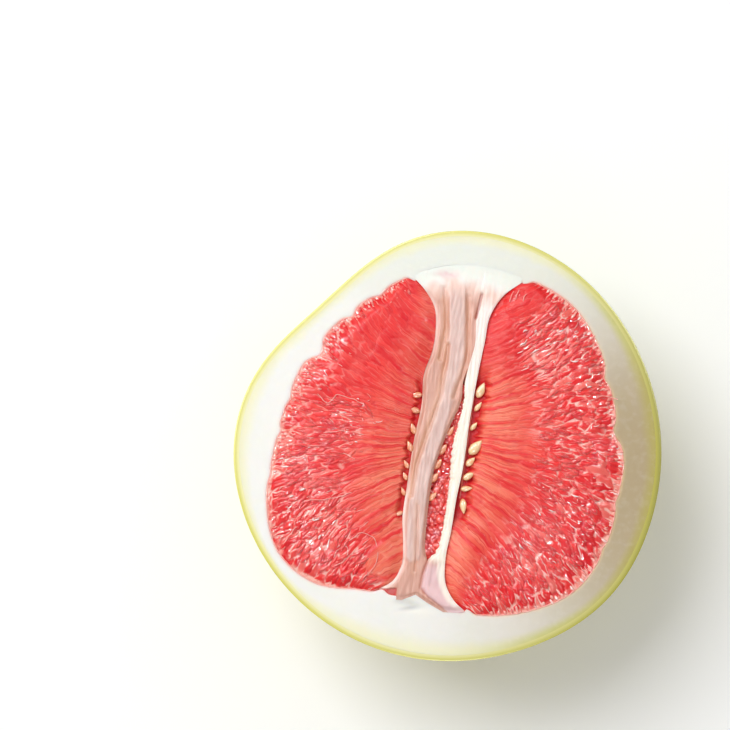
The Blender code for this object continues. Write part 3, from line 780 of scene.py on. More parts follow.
def rim_beads(side, seed):
    """The small round ends of sacs that line the rim, pale where they touch the pith."""
    rng = random.Random(seed)
    found = []
    t = np.linspace(0.0, 1.0, 7)
    arc = LEFT_ARC if side < 0 else RIGHT_ARC
    first, last = (0.015, 0.60) if side < 0 else (0.04, 0.95)
    for row, amount in enumerate(BEAD_ROWS[side]):
        for step in range(amount):
            v = first + (last - first) * (step + rng.uniform(0.1, 0.9)) / amount
            turn = arc[0] + (arc[1] - arc[0]) * v
            reach = cavity_edge(turn)[0] - 0.9 - 1.35 * row - rng.uniform(0.0, 0.6)
            size = rng.uniform(0.55, 0.95) * np.maximum(np.sin(np.pi * t), 0.05) ** 0.5
            half = rng.uniform(0.6, 1.0) * (1.0 if side < 0 else 1.4)
            out = reach + (t - 0.5) * 2 * half
            turn = math.radians(turn + rng.uniform(-0.6, 0.6))
            level = -0.2 + 0.42 * row + rng.uniform(-0.1, 0.35)
            z = level - size * 0.4
            line = np.column_stack([out * math.cos(turn), out * math.sin(turn), z])
            pale = rng.uniform(0.05, 1.15) * (1.0 - 0.18 * row)
            found.append((line, size, rng.random(), pale, 0.5))
    return found


def scraps(side, seed):
    """Shreds of torn skin that lie pale on the open sacs, thickest in the wet places, where some wider
    near-white ones are painted glints.
    """
    rng = random.Random(seed)
    found = []
    for _ in range(SCRAPS):
        v = rng.uniform(0.03, 0.97)
        u = rng.uniform(0.30, 0.985)
        spot = fan(side, u, v)
        wet = near_spots(spot, WET_SPOTS[side])[0]
        if rng.random() > 0.07 + 0.6 * wet - 0.07 * calm(side, spot, u)[0]:
            continue
        length = rng.uniform(0.9, 3.6)
        t, flat_points = placed_line(side, u, v, rng.gauss(0.0, 0.25), length, rng.uniform(-0.5, 0.5), 6)
        if past_edge(flat_points, 0.4):
            continue
        level = top_level(side, u, v)[0] + rng.uniform(0.0, 0.4)
        size = rng.uniform(0.12, 0.32) * np.maximum(np.sin(np.pi * t), 0.08) ** 0.6
        pale = rng.uniform(0.35, 1.1)
        # Painted glints: in the wet places some shreds are made wider and near-white.
        if rng.random() < 0.45 * wet:
            size = size * 1.8
            pale = 1.35
        line = np.column_stack([flat_points, level - 0.5 * (2 * t - 1) ** 2])
        found.append((line, size, rng.random(), pale, 0.5))
    for points in TORN_LINES[side]:
        spots = along(points, np.linspace(0.0, 1.0, 26))
        spots = spots + 0.35 * np.column_stack([rough(grounded(spots), 2.0, k) for k in (1.0, 5.0)])
        level = CROWN + 0.15 + 0.25 * rough(grounded(spots), 1.5, 9.0)
        size = 0.22 + 0.12 * rough(grounded(spots), 1.2, 2.0)
        found.append((np.column_stack([spots, level]), size, 0.5, 0.7, 0.5))
    return found


def rim_skin(first, last, seed):
    """The thin torn skin between the flesh and the pith."""
    turn = np.linspace(first, last, 260)
    wander = np.array([noise.noise(Vector((angle / 2.2, seed, 0.0))) for angle in turn])
    lift = np.array([noise.noise(Vector((angle / 1.1, seed, 4.0))) for angle in turn])
    reach = cavity_edge(turn) - 0.1 + 0.3 * wander
    size = 0.30 + 0.20 * lift
    line = np.column_stack([turned_to(reach, turn), -0.25 + 0.2 * lift])
    return line, size, 0.9, 0.75 + 0.5 * wander, 0.5


def bed_piece(side, name, finish):
    """The closed body of a lobe, whose face is all sacs."""
    cols = BED_STEPS + 1
    v, u = (grid.ravel() for grid in np.meshgrid(
        np.linspace(0.0, 1.0, BED_LINES + 1), np.linspace(0.0, 1.0, cols), indexing="ij"))
    flat_points = fan(side, u, v)
    flat = grounded(flat_points)
    still = calm(side, flat_points, u)
    hollow = seed_hollow(side, flat_points)
    wet = near_spots(flat_points, WET_SPOTS[side])
    share = bulge_share(side, flat_points)
    swelling = 0.6 * np.sqrt(np.clip(1.0 - share ** 2, 0.0, 1.0))
    swelling = swelling - 0.15 * np.exp(-((share - 1.0) / 0.12) ** 2)
    edge_fade = smooth_step(0.0, 0.03, u) * smooth_step(1.0, 0.97, u)
    edge_fade = edge_fade * smooth_step(0.0, 0.02, v) * smooth_step(1.0, 0.98, v)
    patchy = 0.75 + 0.6 * rough(flat, 5.0, 61.0 + side)
    loft = (0.24 + 0.5 * (1.0 - still) * patchy + 0.25 * wet) * edge_fade * (1.0 - 0.5 * hollow)
    loft = loft * (1.0 - 0.3 * smooth_step(1.1, 0.8, share))
    z = top_level(side, u, v) + swelling - HOLLOW_DEPTH * hollow - 0.6 * loft
    z = z + 0.30 * edge_fade * rough(flat, 7.0, 51.0 + side)
    top = np.column_stack([flat_points, z])
    grid = np.arange(len(u)).reshape(BED_LINES + 1, cols)
    picked = grid[::UNDER_STEP, ::UNDER_STEP]
    low = flat_points[picked.ravel()]
    angle = np.degrees(np.arctan2(low[:, 1], low[:, 0]))
    reach = np.linalg.norm(low, axis=1)
    edge = cavity_edge(angle) - GAP
    share_out = np.minimum(reach / edge, 0.98)
    scale = (share_out * edge / reach)[:, None]
    under = np.column_stack([low * scale, sunk(share_out, angle, CAVITY_DEPTH - GAP)])
    below = len(u) + np.arange(len(low)).reshape(picked.shape)
    faces = []
    for grid_in, way in ((grid, side), (below, -side)):
        a, b = grid_in[:-1, :-1].ravel(), grid_in[1:, :-1].ravel()
        c, d = grid_in[1:, 1:].ravel(), grid_in[:-1, 1:].ravel()
        faces.extend(np.stack([a, b, c, d], axis=1)[:, ::way].tolist())
    rims = [(grid[:, 0], below[:, 0], 1), (grid[:, -1], below[:, -1], -1),
            (grid[0], below[0], -1), (grid[-1], below[-1], 1)]
    for upper, lower, way in rims:
        for step in range(len(lower) - 1):
            strip = upper[step * UNDER_STEP:(step + 1) * UNDER_STEP + 1].tolist()
            faces.append(([lower[step], lower[step + 1]] + strip[::-1])[::side * way])
    floats = {"loft": loft * MM, "still": still, "warm": warmth(side, flat_points, u), "hollow": hollow,
              "wet": wet, "rim": smooth_step(0.965, 1.0, u)}
    piece = piece_from(name, np.concatenate([top, under]), faces, {
        key: np.concatenate([values, np.zeros(len(low))]) for key, values in floats.items()})
    crisp(piece, [grid[:, 0], grid[:, -1], grid[0], grid[-1]])
    layer = piece.data.attributes.new("cells", "FLOAT_VECTOR", "POINT")
    cells = np.concatenate([sac_cells(side, u, v, flat), np.zeros((len(low), 3))])
    layer.data.foreach_set("vector", cells.astype(np.float32).ravel())
    return grow(piece, bed_tree, {"Material": finish})


# The colour and fine grain of the flesh, for the bed and for the loose sacs.
juice, juice_in, juice_out = new_group("juicy_flesh", [
    ("Tint", "Float"), ("Warm", "Float"), ("Fibre place", "Vector"), ("Fibre share", "Float")],
    [("Color", "Color"), ("Height", "Float")])
tree = juice
tint, fibre_share = juice_in.outputs["Tint"], juice_in.outputs["Fibre share"]
red = blend_colour(tree, tint, (0.74, 0.006, 0.012), (0.87, 0.034, 0.030))
salmon = blend_colour(tree, tint, (0.84, 0.10, 0.056), (0.92, 0.225, 0.135))
band = cloudy(tree, stretched(tree, juice_in.outputs["Fibre place"], (0.3, 0.16, 1.0)), 1.0, 2.0)
warm = times(tree, juice_in.outputs["Warm"], ramp(tree, band, 0.36, 0.52))
streak = cloudy(tree, juice_in.outputs["Fibre place"], 1.0, 3.0)
light_streak = times(tree, ramp(tree, streak, 0.52, 0.76), fibre_share)
light_streak = times(tree, light_streak, plus(tree, 0.5, times(tree, warm, 0.5)))
place = own_place(tree)
cloud = cloudy(tree, place, 130.0, 2.0)
colour = layered(tree, red, [
    (warm, salmon),
    (light_streak, blend_colour(tree, warm, (0.94, 0.19, 0.15), (0.94, 0.39, 0.26))),
    (times(tree, ramp(tree, streak, 0.46, 0.26), fibre_share), (0.66, 0.010, 0.016)),
    (times(tree, ramp(tree, cloud, 0.52, 0.75), 0.2), (0.96, 0.22, 0.18)),
    (times(tree, ramp(tree, cloud, 0.46, 0.30), 0.45), (0.78, 0.006, 0.022))])
tree.links.new(colour, juice_out.inputs["Color"])
tree.links.new(plus(tree, cloudy(tree, place, 800.0, 2.0), streak), juice_out.inputs["Height"])

WET_FLESH = {"IOR": 1.36, "Specular_IOR_Level": 0.25, "Coat_Roughness": 0.06, "Subsurface_Scale": 0.0025,
             "Subsurface_Weight": 0.3, "Subsurface_Radius": (1.0, 0.3, 0.22)}
bed_finish, tree, shader = new_finish("flesh_closed", 0.3, **WET_FLESH)
cells = attribute(tree, "cells", "Vector")
edge, chance, _ = cell_nodes(tree, cells)
still, wet, hollow = attribute(tree, "still"), attribute(tree, "wet"), attribute(tree, "hollow")
mixed = node(tree, "ShaderNodeGroup", {
    "Tint": axis(tree, chance, "Y"), "Warm": attribute(tree, "warm"),
    "Fibre place": stretched(tree, cells, (0.7, 4.2, 1.0)),
    "Fibre share": plus(tree, 0.3, times(tree, still, 0.55))}, node_tree=juice)
torn = cloudy(tree, own_place(tree), 330.0, 3.0)
open_part = minus(tree, 1.0, times(tree, still, 0.88))
light = times(tree, ramp(tree, axis(tree, chance, "Z"), 0.7, 0.95), times(tree, open_part, 0.45))
wall = times(tree, ramp(tree, edge, 0.17, 0.02), ramp(tree, torn, 0.44, 0.60))
crease_shade = times(tree, ramp(tree, edge, 0.16, 0.0), ramp(tree, torn, 0.48, 0.34))
rim = times(tree, attribute(tree, "rim"), ramp(tree, torn, 0.35, 0.6))
# Painted shade: darker red in the creases between the sacs and in the seed hollow.
colour = layered(tree, mixed.outputs["Color"], [
    (light, (1.0, 0.30, 0.24)),
    (times(tree, wall, open_part), (1.0, 0.50, 0.43)),
    (times(tree, crease_shade, plus(tree, 0.3, times(tree, open_part, 0.5))), (0.60, 0.004, 0.016)),
    (hollow, (0.62, 0.008, 0.016)),
    (times(tree, rim, 0.8), (1.0, 0.55, 0.44))])
dress(tree, shader, colour, mixed.outputs["Height"], 0.35, 0.0003)
tree.links.new(times(tree, open_part, plus(tree, 0.2, times(tree, wet, 0.8))), shader.inputs["Coat Weight"])
tree.links.new(plus(tree, 0.3, times(tree, still, 0.15)), shader.inputs["Roughness"])

sac_finish, tree, shader = new_finish("flesh_loose", 0.3, Coat_Weight=0.75, **WET_FLESH)
tint, pale = attribute(tree, "tint"), attribute(tree, "pale")
tree.links.new(times(tree, ramp(tree, pale, 0.5, 0.1), 0.3), shader.inputs["Subsurface Weight"])
weave = node(tree, "ShaderNodeCombineXYZ", {
    "X": times(tree, attribute(tree, "along"), 1.6), "Y": times(tree, attribute(tree, "around"), 9.0),
    "Z": times(tree, tint, 91.0)})
mixed = node(tree, "ShaderNodeGroup", {
    "Tint": tint, "Warm": attribute(tree, "warm"), "Fibre place": weave.outputs[0], "Fibre share": 0.35},
    node_tree=juice)
facing = facing_up(tree)
# Painted light in this mix: a paler coral sheen where the sides slope, near-white painted glints on the
# palest marks, and painted red light from the flesh around on the upright sides.
colour = layered(tree, mixed.outputs["Color"], [
    (times(tree, ramp(tree, facing, 0.95, 0.5), 0.4), (1.0, 0.36, 0.30)),
    (pale, (1.0, 0.57, 0.50)),
    (ramp(tree, pale, 0.9, 1.3), (1.0, 0.84, 0.80)),
    (times(tree, ramp(tree, facing, 0.75, 0.3), 0.85), (0.90, 0.20, 0.16))])
dress(tree, shader, colour, mixed.outputs["Height"], 0.25, 0.00025)

for side, word, seed in ((-1, "left", 41), (1, "right", 87)):
    skin = rim_skin(111.0, 249.0, 3.0) if side < 0 else rim_skin(-74.0, 69.0, 8.0)
    sacs = line_piece("sacs_" + word, loose_sacs(side, seed), {
        "Sides": 10, "Squash": 0.85, "Wrinkle": 0.00012, "Material": sac_finish})
    beads = line_piece("beads_" + word, rim_beads(side, seed + 1) + scraps(side, seed + 2) + [skin], {
        "Sides": 6, "Squash": 0.7, "Wrinkle": 0.00006, "Material": sac_finish})
    bed = bed_piece(side, "bed_" + word, bed_finish)
    for piece in (sacs, beads, bed):
        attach(piece, "root")
        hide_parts("pulp_" + word)

# THE CORE
# The white middle of the fruit: thin tough walls between the lobes, cut lengthwise and folded over
# each other, a firm cream strip beside a slit, and a soft cap of pith at each end.

SLIT_LEFT = [
    (5.4, 64.0), (5.3, 53.4), (4.4, 44.8), (4.9, 34.2), (3.7, 27.0), (2.6, 22.0), (2.7, 15.4), (-0.1, 6.2),
    (-2.3, -1.8), (-4.0, -9.3), (-4.5, -16.1), (-4.6, -24.0), (-4.4, -31.7), (-3.9, -38.0), (-2.7, -41.8),
    (-2.6, -50.0), (-2.0, -62.0)]
SLIT_RIGHT = [
    (5.6, 64.0), (5.5, 53.4), (4.6, 44.8), (5.1, 34.2), (3.9, 27.0), (3.3, 22.0), (3.7, 15.4), (2.5, 5.5),
    (1.6, -1.9), (2.0, -10.0), (2.1, -20.5), (1.5, -30.8), (0.2, -37.6), (-2.5, -41.8), (-2.4, -50.0),
    (-1.8, -62.0)]
# the folds of the wall: places, depth and width
FOLDS = [
    ([(-7.9, 54.0), (-6.4, 47.0), (-5.5, 40.0), (-6.4, 29.0)], 0.75, 0.8),
    ([(-4.2, 34.0), (-4.4, 23.6), (-5.0, 15.1), (-7.4, 4.2), (-10.2, -9.0), (-10.8, -20.0)], 0.8, 0.7),
    ([(1.0, 52.0), (2.0, 44.0), (2.8, 36.0), (3.0, 30.3), (1.6, 23.0), (0.0, 16.0)], 0.6, 0.7),
    ([(-8.2, -23.0), (-7.6, -29.0), (-6.8, -37.1), (-6.6, -46.0)], 0.45, 0.45)]
# the pale ribbon between the folds
RIBBON = [(-4.0, 62.0), (-3.1, 53.0), (-1.7, 41.3), (-0.5, 28.6), (-1.9, 22.4), (-4.9, 4.4),
          (-8.1, -13.7), (-8.4, -24.0), (-8.0, -40.0)]
RIBBON_HALF = 2.9
NOTCH_LINE = [(5.6, 53.4), (5.1, 49.0), (4.5, 44.8)]
HEM_LINE = [(-2.6, -42.0), (-3.6, -47.0), (-3.9, -51.6), (-1.0, -54.4), (4.5, -57.6)]
# how far the blossom end strays from a straight cut: share of the width, distance
END_SHAPE = [(0.0, 0.0), (0.1, -1.5), (0.2, -1.7), (0.28, -1.2), (0.43, 1.7), (0.58, -0.2), (0.76, -1.9),
             (0.94, -0.8), (1.0, 0.0)]
END_LENGTH = 0.083
CORE_ROWS = 300
LEFT_COLS = 46
SLIT_COLS = 4
RIGHT_COLS = 26
SLIT_DEEP = 8.0
CORE_BASE = -9.5


def beside_line(points, line):
    """Distance of points from a line, and the same again with a sign, plus on its right."""
    line = np.array(line, float)
    near = np.full(len(points), 1e9)
    side = np.zeros(len(points))
    for start, stop in zip(line[:-1], line[1:]):
        run = stop - start
        t = np.clip(((points - start) @ run) / (run @ run), 0.0, 1.0)
        away = points - start - t[:, None] * run
        gap = np.hypot(away[:, 0], away[:, 1])
        closer = gap < near
        near[closer] = gap[closer]
        side[closer] = np.sign(run[0] * away[:, 1] - run[1] * away[:, 0])[closer]
    return near, near * side


cols = LEFT_COLS + SLIT_COLS + RIGHT_COLS
on_strip = np.arange(cols) >= LEFT_COLS + SLIT_COLS
in_slit = (np.arange(cols) >= LEFT_COLS) & ~on_strip
tops = []
marks = []
for row in range(-5, CORE_ROWS + 2):
    share = min(max(row / CORE_ROWS, 0.0), 1.0)
    beyond = (share * CORE_ROWS - row) * (0.55 if row < 0 else 0.3)
    left = along(CORE_LEFT, [share])[0]
    right_end = along(CORE_RIGHT, [share])[0]
    middle_y = (left[1] + right_end[1]) / 2
    ragged = 0.5 * noise.noise(Vector((middle_y / 1.3, 3.0, 0.0)))
    ragged += 0.3 * noise.noise(Vector((middle_y / 0.5, 7.0, 0.0)))
    slit = [line_x(line, [middle_y])[0] for line in (SLIT_LEFT, SLIT_RIGHT)]
    open_here = float(smooth_step(0.25, 1.3, slit[1] - slit[0]))
    slit[1] += ragged * open_here
    xs = np.concatenate([
        left[0] + (slit[0] - left[0]) * np.linspace(0.0, 1.0, LEFT_COLS) ** 0.9,
        slit[0] + (slit[1] - slit[0]) * np.linspace(0.12, 0.88, SLIT_COLS),
        slit[1] + (right_end[0] - slit[1]) * np.linspace(0.0, 1.0, RIGHT_COLS)])
    share_x = (xs - left[0]) / (right_end[0] - left[0])
    arch = 4.0 * share_x * (1.0 - share_x)
    stray = np.interp(share_x, *np.array(END_SHAPE).T) * max(0.0, 1.0 - (1.0 - share) / END_LENGTH)
    ys = left[1] + (right_end[1] - left[1]) * share_x + 4.4 * arch * max(0.0, 1.0 - 9.0 * share)
    ys = ys + stray + beyond
    flat_points = np.column_stack([xs, ys])
    flat = grounded(flat_points)
    to_left = xs - left[0]
    to_right = right_end[0] - xs
    cap = float(smooth_step(0.085, 0.004, share) + smooth_step(0.975, 1.0, share))
    z = -0.5 + 1.1 * smooth_step(0.0, 1.6, to_left) - 0.25 * smooth_step(0.6, 0.0, to_right)
    lip = np.where(on_strip, xs - slit[1], slit[0] - xs)
    z = z - 0.9 * open_here * smooth_step(1.0, 0.0, np.abs(lip)) + 0.5 * on_strip
    near, _ = beside_line(flat_points, RIBBON)
    ribbon = smooth_step(RIBBON_HALF + 0.7, RIBBON_HALF - 0.7, near) * (~on_strip)
    z = z + 0.45 * ribbon
    tan = 0.0 * xs
    # Painted shade: dark red-brown down the folds, the notch, the hem line and the slit.
    recess_shade = 0.0 * xs
    for line, strength, spread in FOLDS:
        near, signed = beside_line(flat_points, line)
        z = z - strength * np.exp(-(near / spread) ** 2) * (~on_strip)
        tan = np.maximum(tan, np.exp(-((signed + 0.4) / 1.2) ** 2) * strength * (~on_strip))
        recess_shade = np.maximum(recess_shade, 0.3 * strength * np.exp(-(near / 0.3) ** 2) * (~on_strip))
    near, _ = beside_line(flat_points, NOTCH_LINE)
    z = z - 1.1 * np.exp(-(near / 0.45) ** 2)
    recess_shade = np.maximum(recess_shade, 0.8 * np.exp(-(near / 0.35) ** 2))
    near, signed = beside_line(flat_points, HEM_LINE)
    z = z - 0.5 * np.exp(-(near / 0.5) ** 2) + 0.4 * np.exp(-((signed - 1.6) / 1.4) ** 2)
    recess_shade = np.maximum(recess_shade, 0.45 * np.exp(-(near / 0.3) ** 2))
    z = z - SLIT_DEEP * open_here * in_slit
    recess_shade = np.maximum(recess_shade, in_slit * open_here)
    fine = np.column_stack([xs, ys * 0.16, 0.0 * xs])
    z = z + 0.20 * rough(fine, 0.9, 1.0) + 0.15 * rough(flat, 4.0, 5.0)
    level = 0.03 + 0.16 * rough(flat, 9.0, 3.0) + 0.05 * rough(flat, 2.2, 9.0)
    z = z * (1 - cap) + level * cap - 0.008 * max(-row, 0) ** 2
    pocket = smooth_step(0.3, -0.3, ys + 52.7 - 0.16 * (xs + 11.95)) * smooth_step(-11.7, -12.4, xs)
    z = z - 1.0 * pocket
    tops.append(np.column_stack([flat_points, z]))
    mid_y = ys.mean()
    cream = on_strip * float(smooth_step(-43.0, -39.5, mid_y))
    flare = smooth_step(3.6, 1.7, to_right) * smooth_step(-36.0, -39.0, ys) * smooth_step(-58.5, -55.0, ys)
    cream = np.maximum(cream, 0.85 * flare)
    # A pale cream line along the core's left edge low down, and a painted highlight along its upper part.
    left_edge_cream_and_highlight = smooth_step(1.5, 0.5, to_left) * smooth_step(-8.0, -26.0, ys)
    left_edge_cream_and_highlight = np.maximum(left_edge_cream_and_highlight, 0.8 * smooth_step(1.6, 0.4, to_left) * smooth_step(20.0, 40.0, ys))
    white = ys + 0.35 * np.abs(xs + 4.0) - 0.12 * (xs + 4.0) + 2.0 * rough(flat, 3.5, 6.0)
    white = np.clip((white - 50.5) / 11.5, 0.0, 1.0)
    pink = np.exp(-(((xs + 7.6) / 3.6) ** 2 + ((ys - 59.0) / 1.3) ** 2))
    pink = pink * (0.8 + 0.6 * rough(flat, 1.6, 8.0))
    hem = smooth_step(-0.2, 0.6, signed) * smooth_step(-41.0, -45.0, ys) * smooth_step(13.0, 11.0, xs)
    shade = right_side_shade(np.degrees(np.arctan2(ys, xs)))
    marks.append(np.column_stack([tan, recess_shade, cream, white, pink, hem, ribbon, pocket, left_edge_cream_and_highlight, shade]))


def block_faces(rows, cols):
    """The faces of a closed block whose top and underside are grids of the same size."""
    faces = []
    for row in range(rows - 1):
        for col in range(cols - 1):
            a = row * cols + col
            b = a + rows * cols
            faces.append((a, a + cols, a + cols + 1, a + 1))
            faces.append((b, b + 1, b + cols + 1, b + cols))
        for col, way in ((0, 1), (cols - 1, -1)):
            a = row * cols + col
            b = a + rows * cols
            faces.append((a, b, b + cols, a + cols)[::way])
    for row, way in ((0, -1), (rows - 1, 1)):
        for a in range(row * cols, row * cols + cols - 1):
            b = a + rows * cols
            faces.append((a, b, b + 1, a + 1)[::way])
    return faces


rows = len(tops)
top_points = np.concatenate(tops)
under = top_points.copy()
under[:, 2] = CORE_BASE
marks = np.concatenate(marks + marks)
names = ("tan", "recess_shade", "cream", "white", "pink", "hem", "ribbon", "pocket", "left_edge_cream_and_highlight", "shade")
core = piece_from("core_walls", np.concatenate([top_points, under]), block_faces(rows, cols),
                  {name: marks[:, k] for k, name in enumerate(names)})
grid = np.arange(rows * cols).reshape(rows, cols)
crisp(core, [grid[:, 0], grid[:, -1], grid[0], grid[-1]])

core_finish, tree, shader = new_finish("core_membrane", 0.55, Coat_Weight=0.08, Coat_Roughness=0.25,
                                       Subsurface_Scale=0.002, Subsurface_Weight=0.3,
                                       Subsurface_Radius=(1.0, 0.6, 0.45))
place = own_place(tree)
masks = {name: attribute(tree, name) for name in names}
white = masks["white"]
stretch = node(tree, "ShaderNodeMapping", {"Vector": place, "Scale": (1.0, 0.12, 1.0)}).outputs[0]
grain = cloudy(tree, stretch, 900.0, 3.0)
light = ramp(tree, grain, 0.3, 0.7)
cap = node(tree, "ShaderNodeGroup", {"Outward": 0.0, "Shade": masks["shade"]}, node_tree=pith_colour)
cap = cap.outputs["Color"]
cap_white = layered(tree, cap, [(0.35, (0.93, 0.82, 0.80)), (ramp(tree, white, 0.7, 1.0), cap)])
stem_part = ramp(tree, axis(tree, place, "Y"), 0.01, 0.04)
cream = blend_colour(tree, stem_part, (0.95, 0.86, 0.74), (0.93, 0.80, 0.74))
colour = layered(tree, (0.57, 0.26, 0.185), [
    (light, (0.69, 0.36, 0.27)),
    (masks["ribbon"], blend_colour(tree, light, (0.63, 0.40, 0.35), (0.74, 0.51, 0.45))),
    (times(tree, masks["tan"], 0.9), (0.70, 0.34, 0.19)),
    (times(tree, masks["hem"], 0.85), (0.80, 0.53, 0.55)),
    (masks["left_edge_cream_and_highlight"], (0.95, 0.74, 0.66)),
    (masks["cream"], cream),
    (ramp(tree, white, 0.0, 0.55), (0.80, 0.53, 0.44)),
    (ramp(tree, white, 0.4, 0.9), cap_white),
    (times(tree, masks["pink"], 0.75), (0.76, 0.40, 0.43)),
    (masks["recess_shade"], (0.40, 0.06, 0.04)),
    (masks["pocket"], (0.58, 0.045, 0.04)),
    # Painted shade: dark red on the upright sides of the walls.
    (ramp(tree, facing_up(tree), 0.35, 0.1), (0.70, 0.08, 0.06))])
dress(tree, shader, colour, grain, 0.3, 0.0003)
core.data.materials.append(core_finish)
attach(core, "root")
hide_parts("core")

# THE DEEPER FLESH
# The next lobe down, cut open by the slit: small round dark red sacs on the bed they grew in.

DEEP_SACS = 270
rng = random.Random(12)
t = np.linspace(0.0, 1.0, 11)
deep_lines = []
for step in range(DEEP_SACS):
    y = 21.0 - 62.0 * (step + rng.random()) / DEEP_SACS
    x = rng.uniform(line_x(SLIT_LEFT, [y])[0] - 0.8, line_x(SLIT_RIGHT, [y])[0] + 0.8)
    heading = math.radians(rng.gauss(-60.0, 40.0))
    reach = (t - 0.5) * rng.uniform(3.0, 6.0)
    size = rng.uniform(1.0, 1.7) * sac_profile(t, 0.9)
    rest = -4.2 + rng.uniform(-0.8, 0.8) + 1.2 * smooth_step(-15.0, -42.0, y)
    level = rest + 0.3 * np.sin(t * 3)
    line = np.column_stack([x + reach * math.cos(heading), y + reach * math.sin(heading), level])
    deep_lines.append((line, size, rng.random(), 0.0, 0.0))

deep_finish, tree, shader = new_finish("flesh_deep", 0.2, Coat_Weight=0.5, Subsurface_Scale=0.002, IOR=1.38,
                                       Subsurface_Weight=0.3, Subsurface_Radius=(1.0, 0.25, 0.2))
mottle = cloudy(tree, own_place(tree), 420.0, 2.0)
dress(tree, shader, layered(tree, (0.60, 0.012, 0.02), [
    (attribute(tree, "tint"), (0.88, 0.10, 0.08)), (ramp(tree, mottle, 0.55, 0.8), (0.90, 0.18, 0.14))]))

deep = line_piece("deep_sacs", deep_lines, {
    "Sides": 10, "Squash": 0.9, "Wrinkle": 0.00015, "Material": deep_finish})
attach(deep, "root")
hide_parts("pulp_middle")

DEEP_ROWS = 41
DEEP_COLS = 9
upper = []
lower = []
for share in np.linspace(0.05, 0.94, DEEP_ROWS):
    left = along(CORE_LEFT, [share])[0]
    right_end = along(CORE_RIGHT, [share])[0]
    for part in np.linspace(0.04, 0.96, DEEP_COLS):
        spot = left + (right_end - left) * part
        angle = math.degrees(math.atan2(spot[1], spot[0]))
        reach = math.hypot(*spot) / (cavity_edge(angle)[0] - GAP)
        upper.append((spot[0], spot[1], CORE_BASE - 0.2))
        lower.append((spot[0], spot[1], float(sunk(min(reach, 0.97), angle, CAVITY_DEPTH - 1.0))))
deep_bed = piece_from("deep_bed", upper + lower, block_faces(DEEP_ROWS, DEEP_COLS))
deep_bed.data.materials.append(deep_finish)
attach(deep_bed, "root")
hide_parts("pulp_middle")

# THE SEEDS
# Small flat seeds that never filled out, pale yellow and pointed, each held by its point in a thin
# pale strand that ran along the core and fed it.

# place along the core, distance from it, level, length, heading and width of each seed
SEEDS = {
    "right": [
        (16.8, 8.2, -0.5, 5.9, 72, 0.50), (12.0, 7.8, -0.9, 4.2, 60, 0.42),
        (5.2, 7.1, -1.0, 3.6, 56, 0.5), (-3.4, 7.7, -0.1, 6.6, 56, 0.56),
        (-7.4, 7.0, -0.3, 4.2, 50, 0.58), (-12.2, 6.5, -0.3, 4.6, 35, 0.52),
        (-15.8, 6.0, -0.4, 4.2, 13, 0.50), (-19.0, 7.2, -0.3, 5.4, -80, 0.46)],
    "middle": [
        (2.4, -1.0, -2.2, 4.2, 58, 0.50), (-4.4, -2.9, -2.2, 4.4, 58, 0.54),
        (-9.8, -4.0, -2.1, 4.4, 60, 0.54), (-14.6, -4.6, -2.0, 4.2, 58, 0.54),
        (-21.0, -4.7, -2.0, 4.0, 50, 0.52), (13.2, 2.6, -2.8, 3.4, 60, 0.5)],
    "left": [
        (15.6, -11.2, -0.5, 4.8, 190, 0.46), (9.6, -11.2, -0.7, 4.8, 172, 0.46),
        (1.4, -11.9, -0.8, 4.4, 118, 0.5), (-4.8, -12.4, -0.7, 4.2, 118, 0.5),
        (-10.8, -12.9, -0.6, 3.4, 125, 0.5), (-15.0, -13.0, -0.6, 3.2, 120, 0.5),
        (-20.4, -13.1, -0.5, 3.2, 118, 0.5), (-26.0, -13.1, -0.5, 3.2, 212, 0.5)]}
SEED_STRANDS = {"right": (6.6, 0.02, -2.4), "middle": (-1.0, 0.12, -4.3), "left": (-12.9, 0.06, -2.6)}
SEED_TURNS = 16
SEED_STEPS = 11

seed_points = []
seed_faces = []
for step in range(SEED_STEPS + 1):
    t = step / SEED_STEPS
    wide = max(0.03, math.sin(math.pi * t ** 0.75)) ** 0.8
    for turn_step in range(SEED_TURNS):
        turn = 2 * math.pi * turn_step / SEED_TURNS
        keel = 1.0 + 0.18 * max(0.0, math.sin(turn)) ** 6
        seed_points.append((t, 0.5 * wide * math.cos(turn), 0.5 * wide * keel * math.sin(turn)))
for step in range(SEED_STEPS):
    for turn_step in range(SEED_TURNS):
        a = step * SEED_TURNS + turn_step
        b = step * SEED_TURNS + (turn_step + 1) % SEED_TURNS
        seed_faces.append((a, b, b + SEED_TURNS, a + SEED_TURNS))
seed_faces.append(tuple(range(SEED_TURNS))[::-1])
seed_faces.append(tuple(range(SEED_STEPS * SEED_TURNS, (SEED_STEPS + 1) * SEED_TURNS)))
seed_mesh = bpy.data.meshes.new("one_seed")
seed_mesh.from_pydata(seed_points, [], [face[::-1] for face in seed_faces])
one_seed = bpy.data.objects.new("one_seed", seed_mesh)

seed_tree, seed_in, seed_out = new_tree("seeds_on_points", [
    ("Seed", "Object", None), ("Dimple", "Float", 0.00016), ("Material", "Material", None)])
shape = node(seed_tree, "GeometryNodeObjectInfo", {"Object": seed_in.outputs["Seed"]})
spin = stored(seed_tree, "spin", "FLOAT_VECTOR")
turns = node(seed_tree, "FunctionNodeEulerToRotation", {"Euler": spin})
copies = node(seed_tree, "GeometryNodeInstanceOnPoints", {
    "Points": seed_in.outputs[0], "Instance": shape.outputs["Geometry"], "Rotation": turns.outputs[0],
    "Scale": stored(seed_tree, "size", "FLOAT_VECTOR")})
whole = node(seed_tree, "GeometryNodeRealizeInstances", {"Geometry": copies.outputs[0]})
dimpled = push_out(seed_tree, whole.outputs[0], ripples(seed_tree, 800.0, seed_in.outputs["Dimple"]))
close_tree(seed_tree, seed_in, seed_out, dimpled)

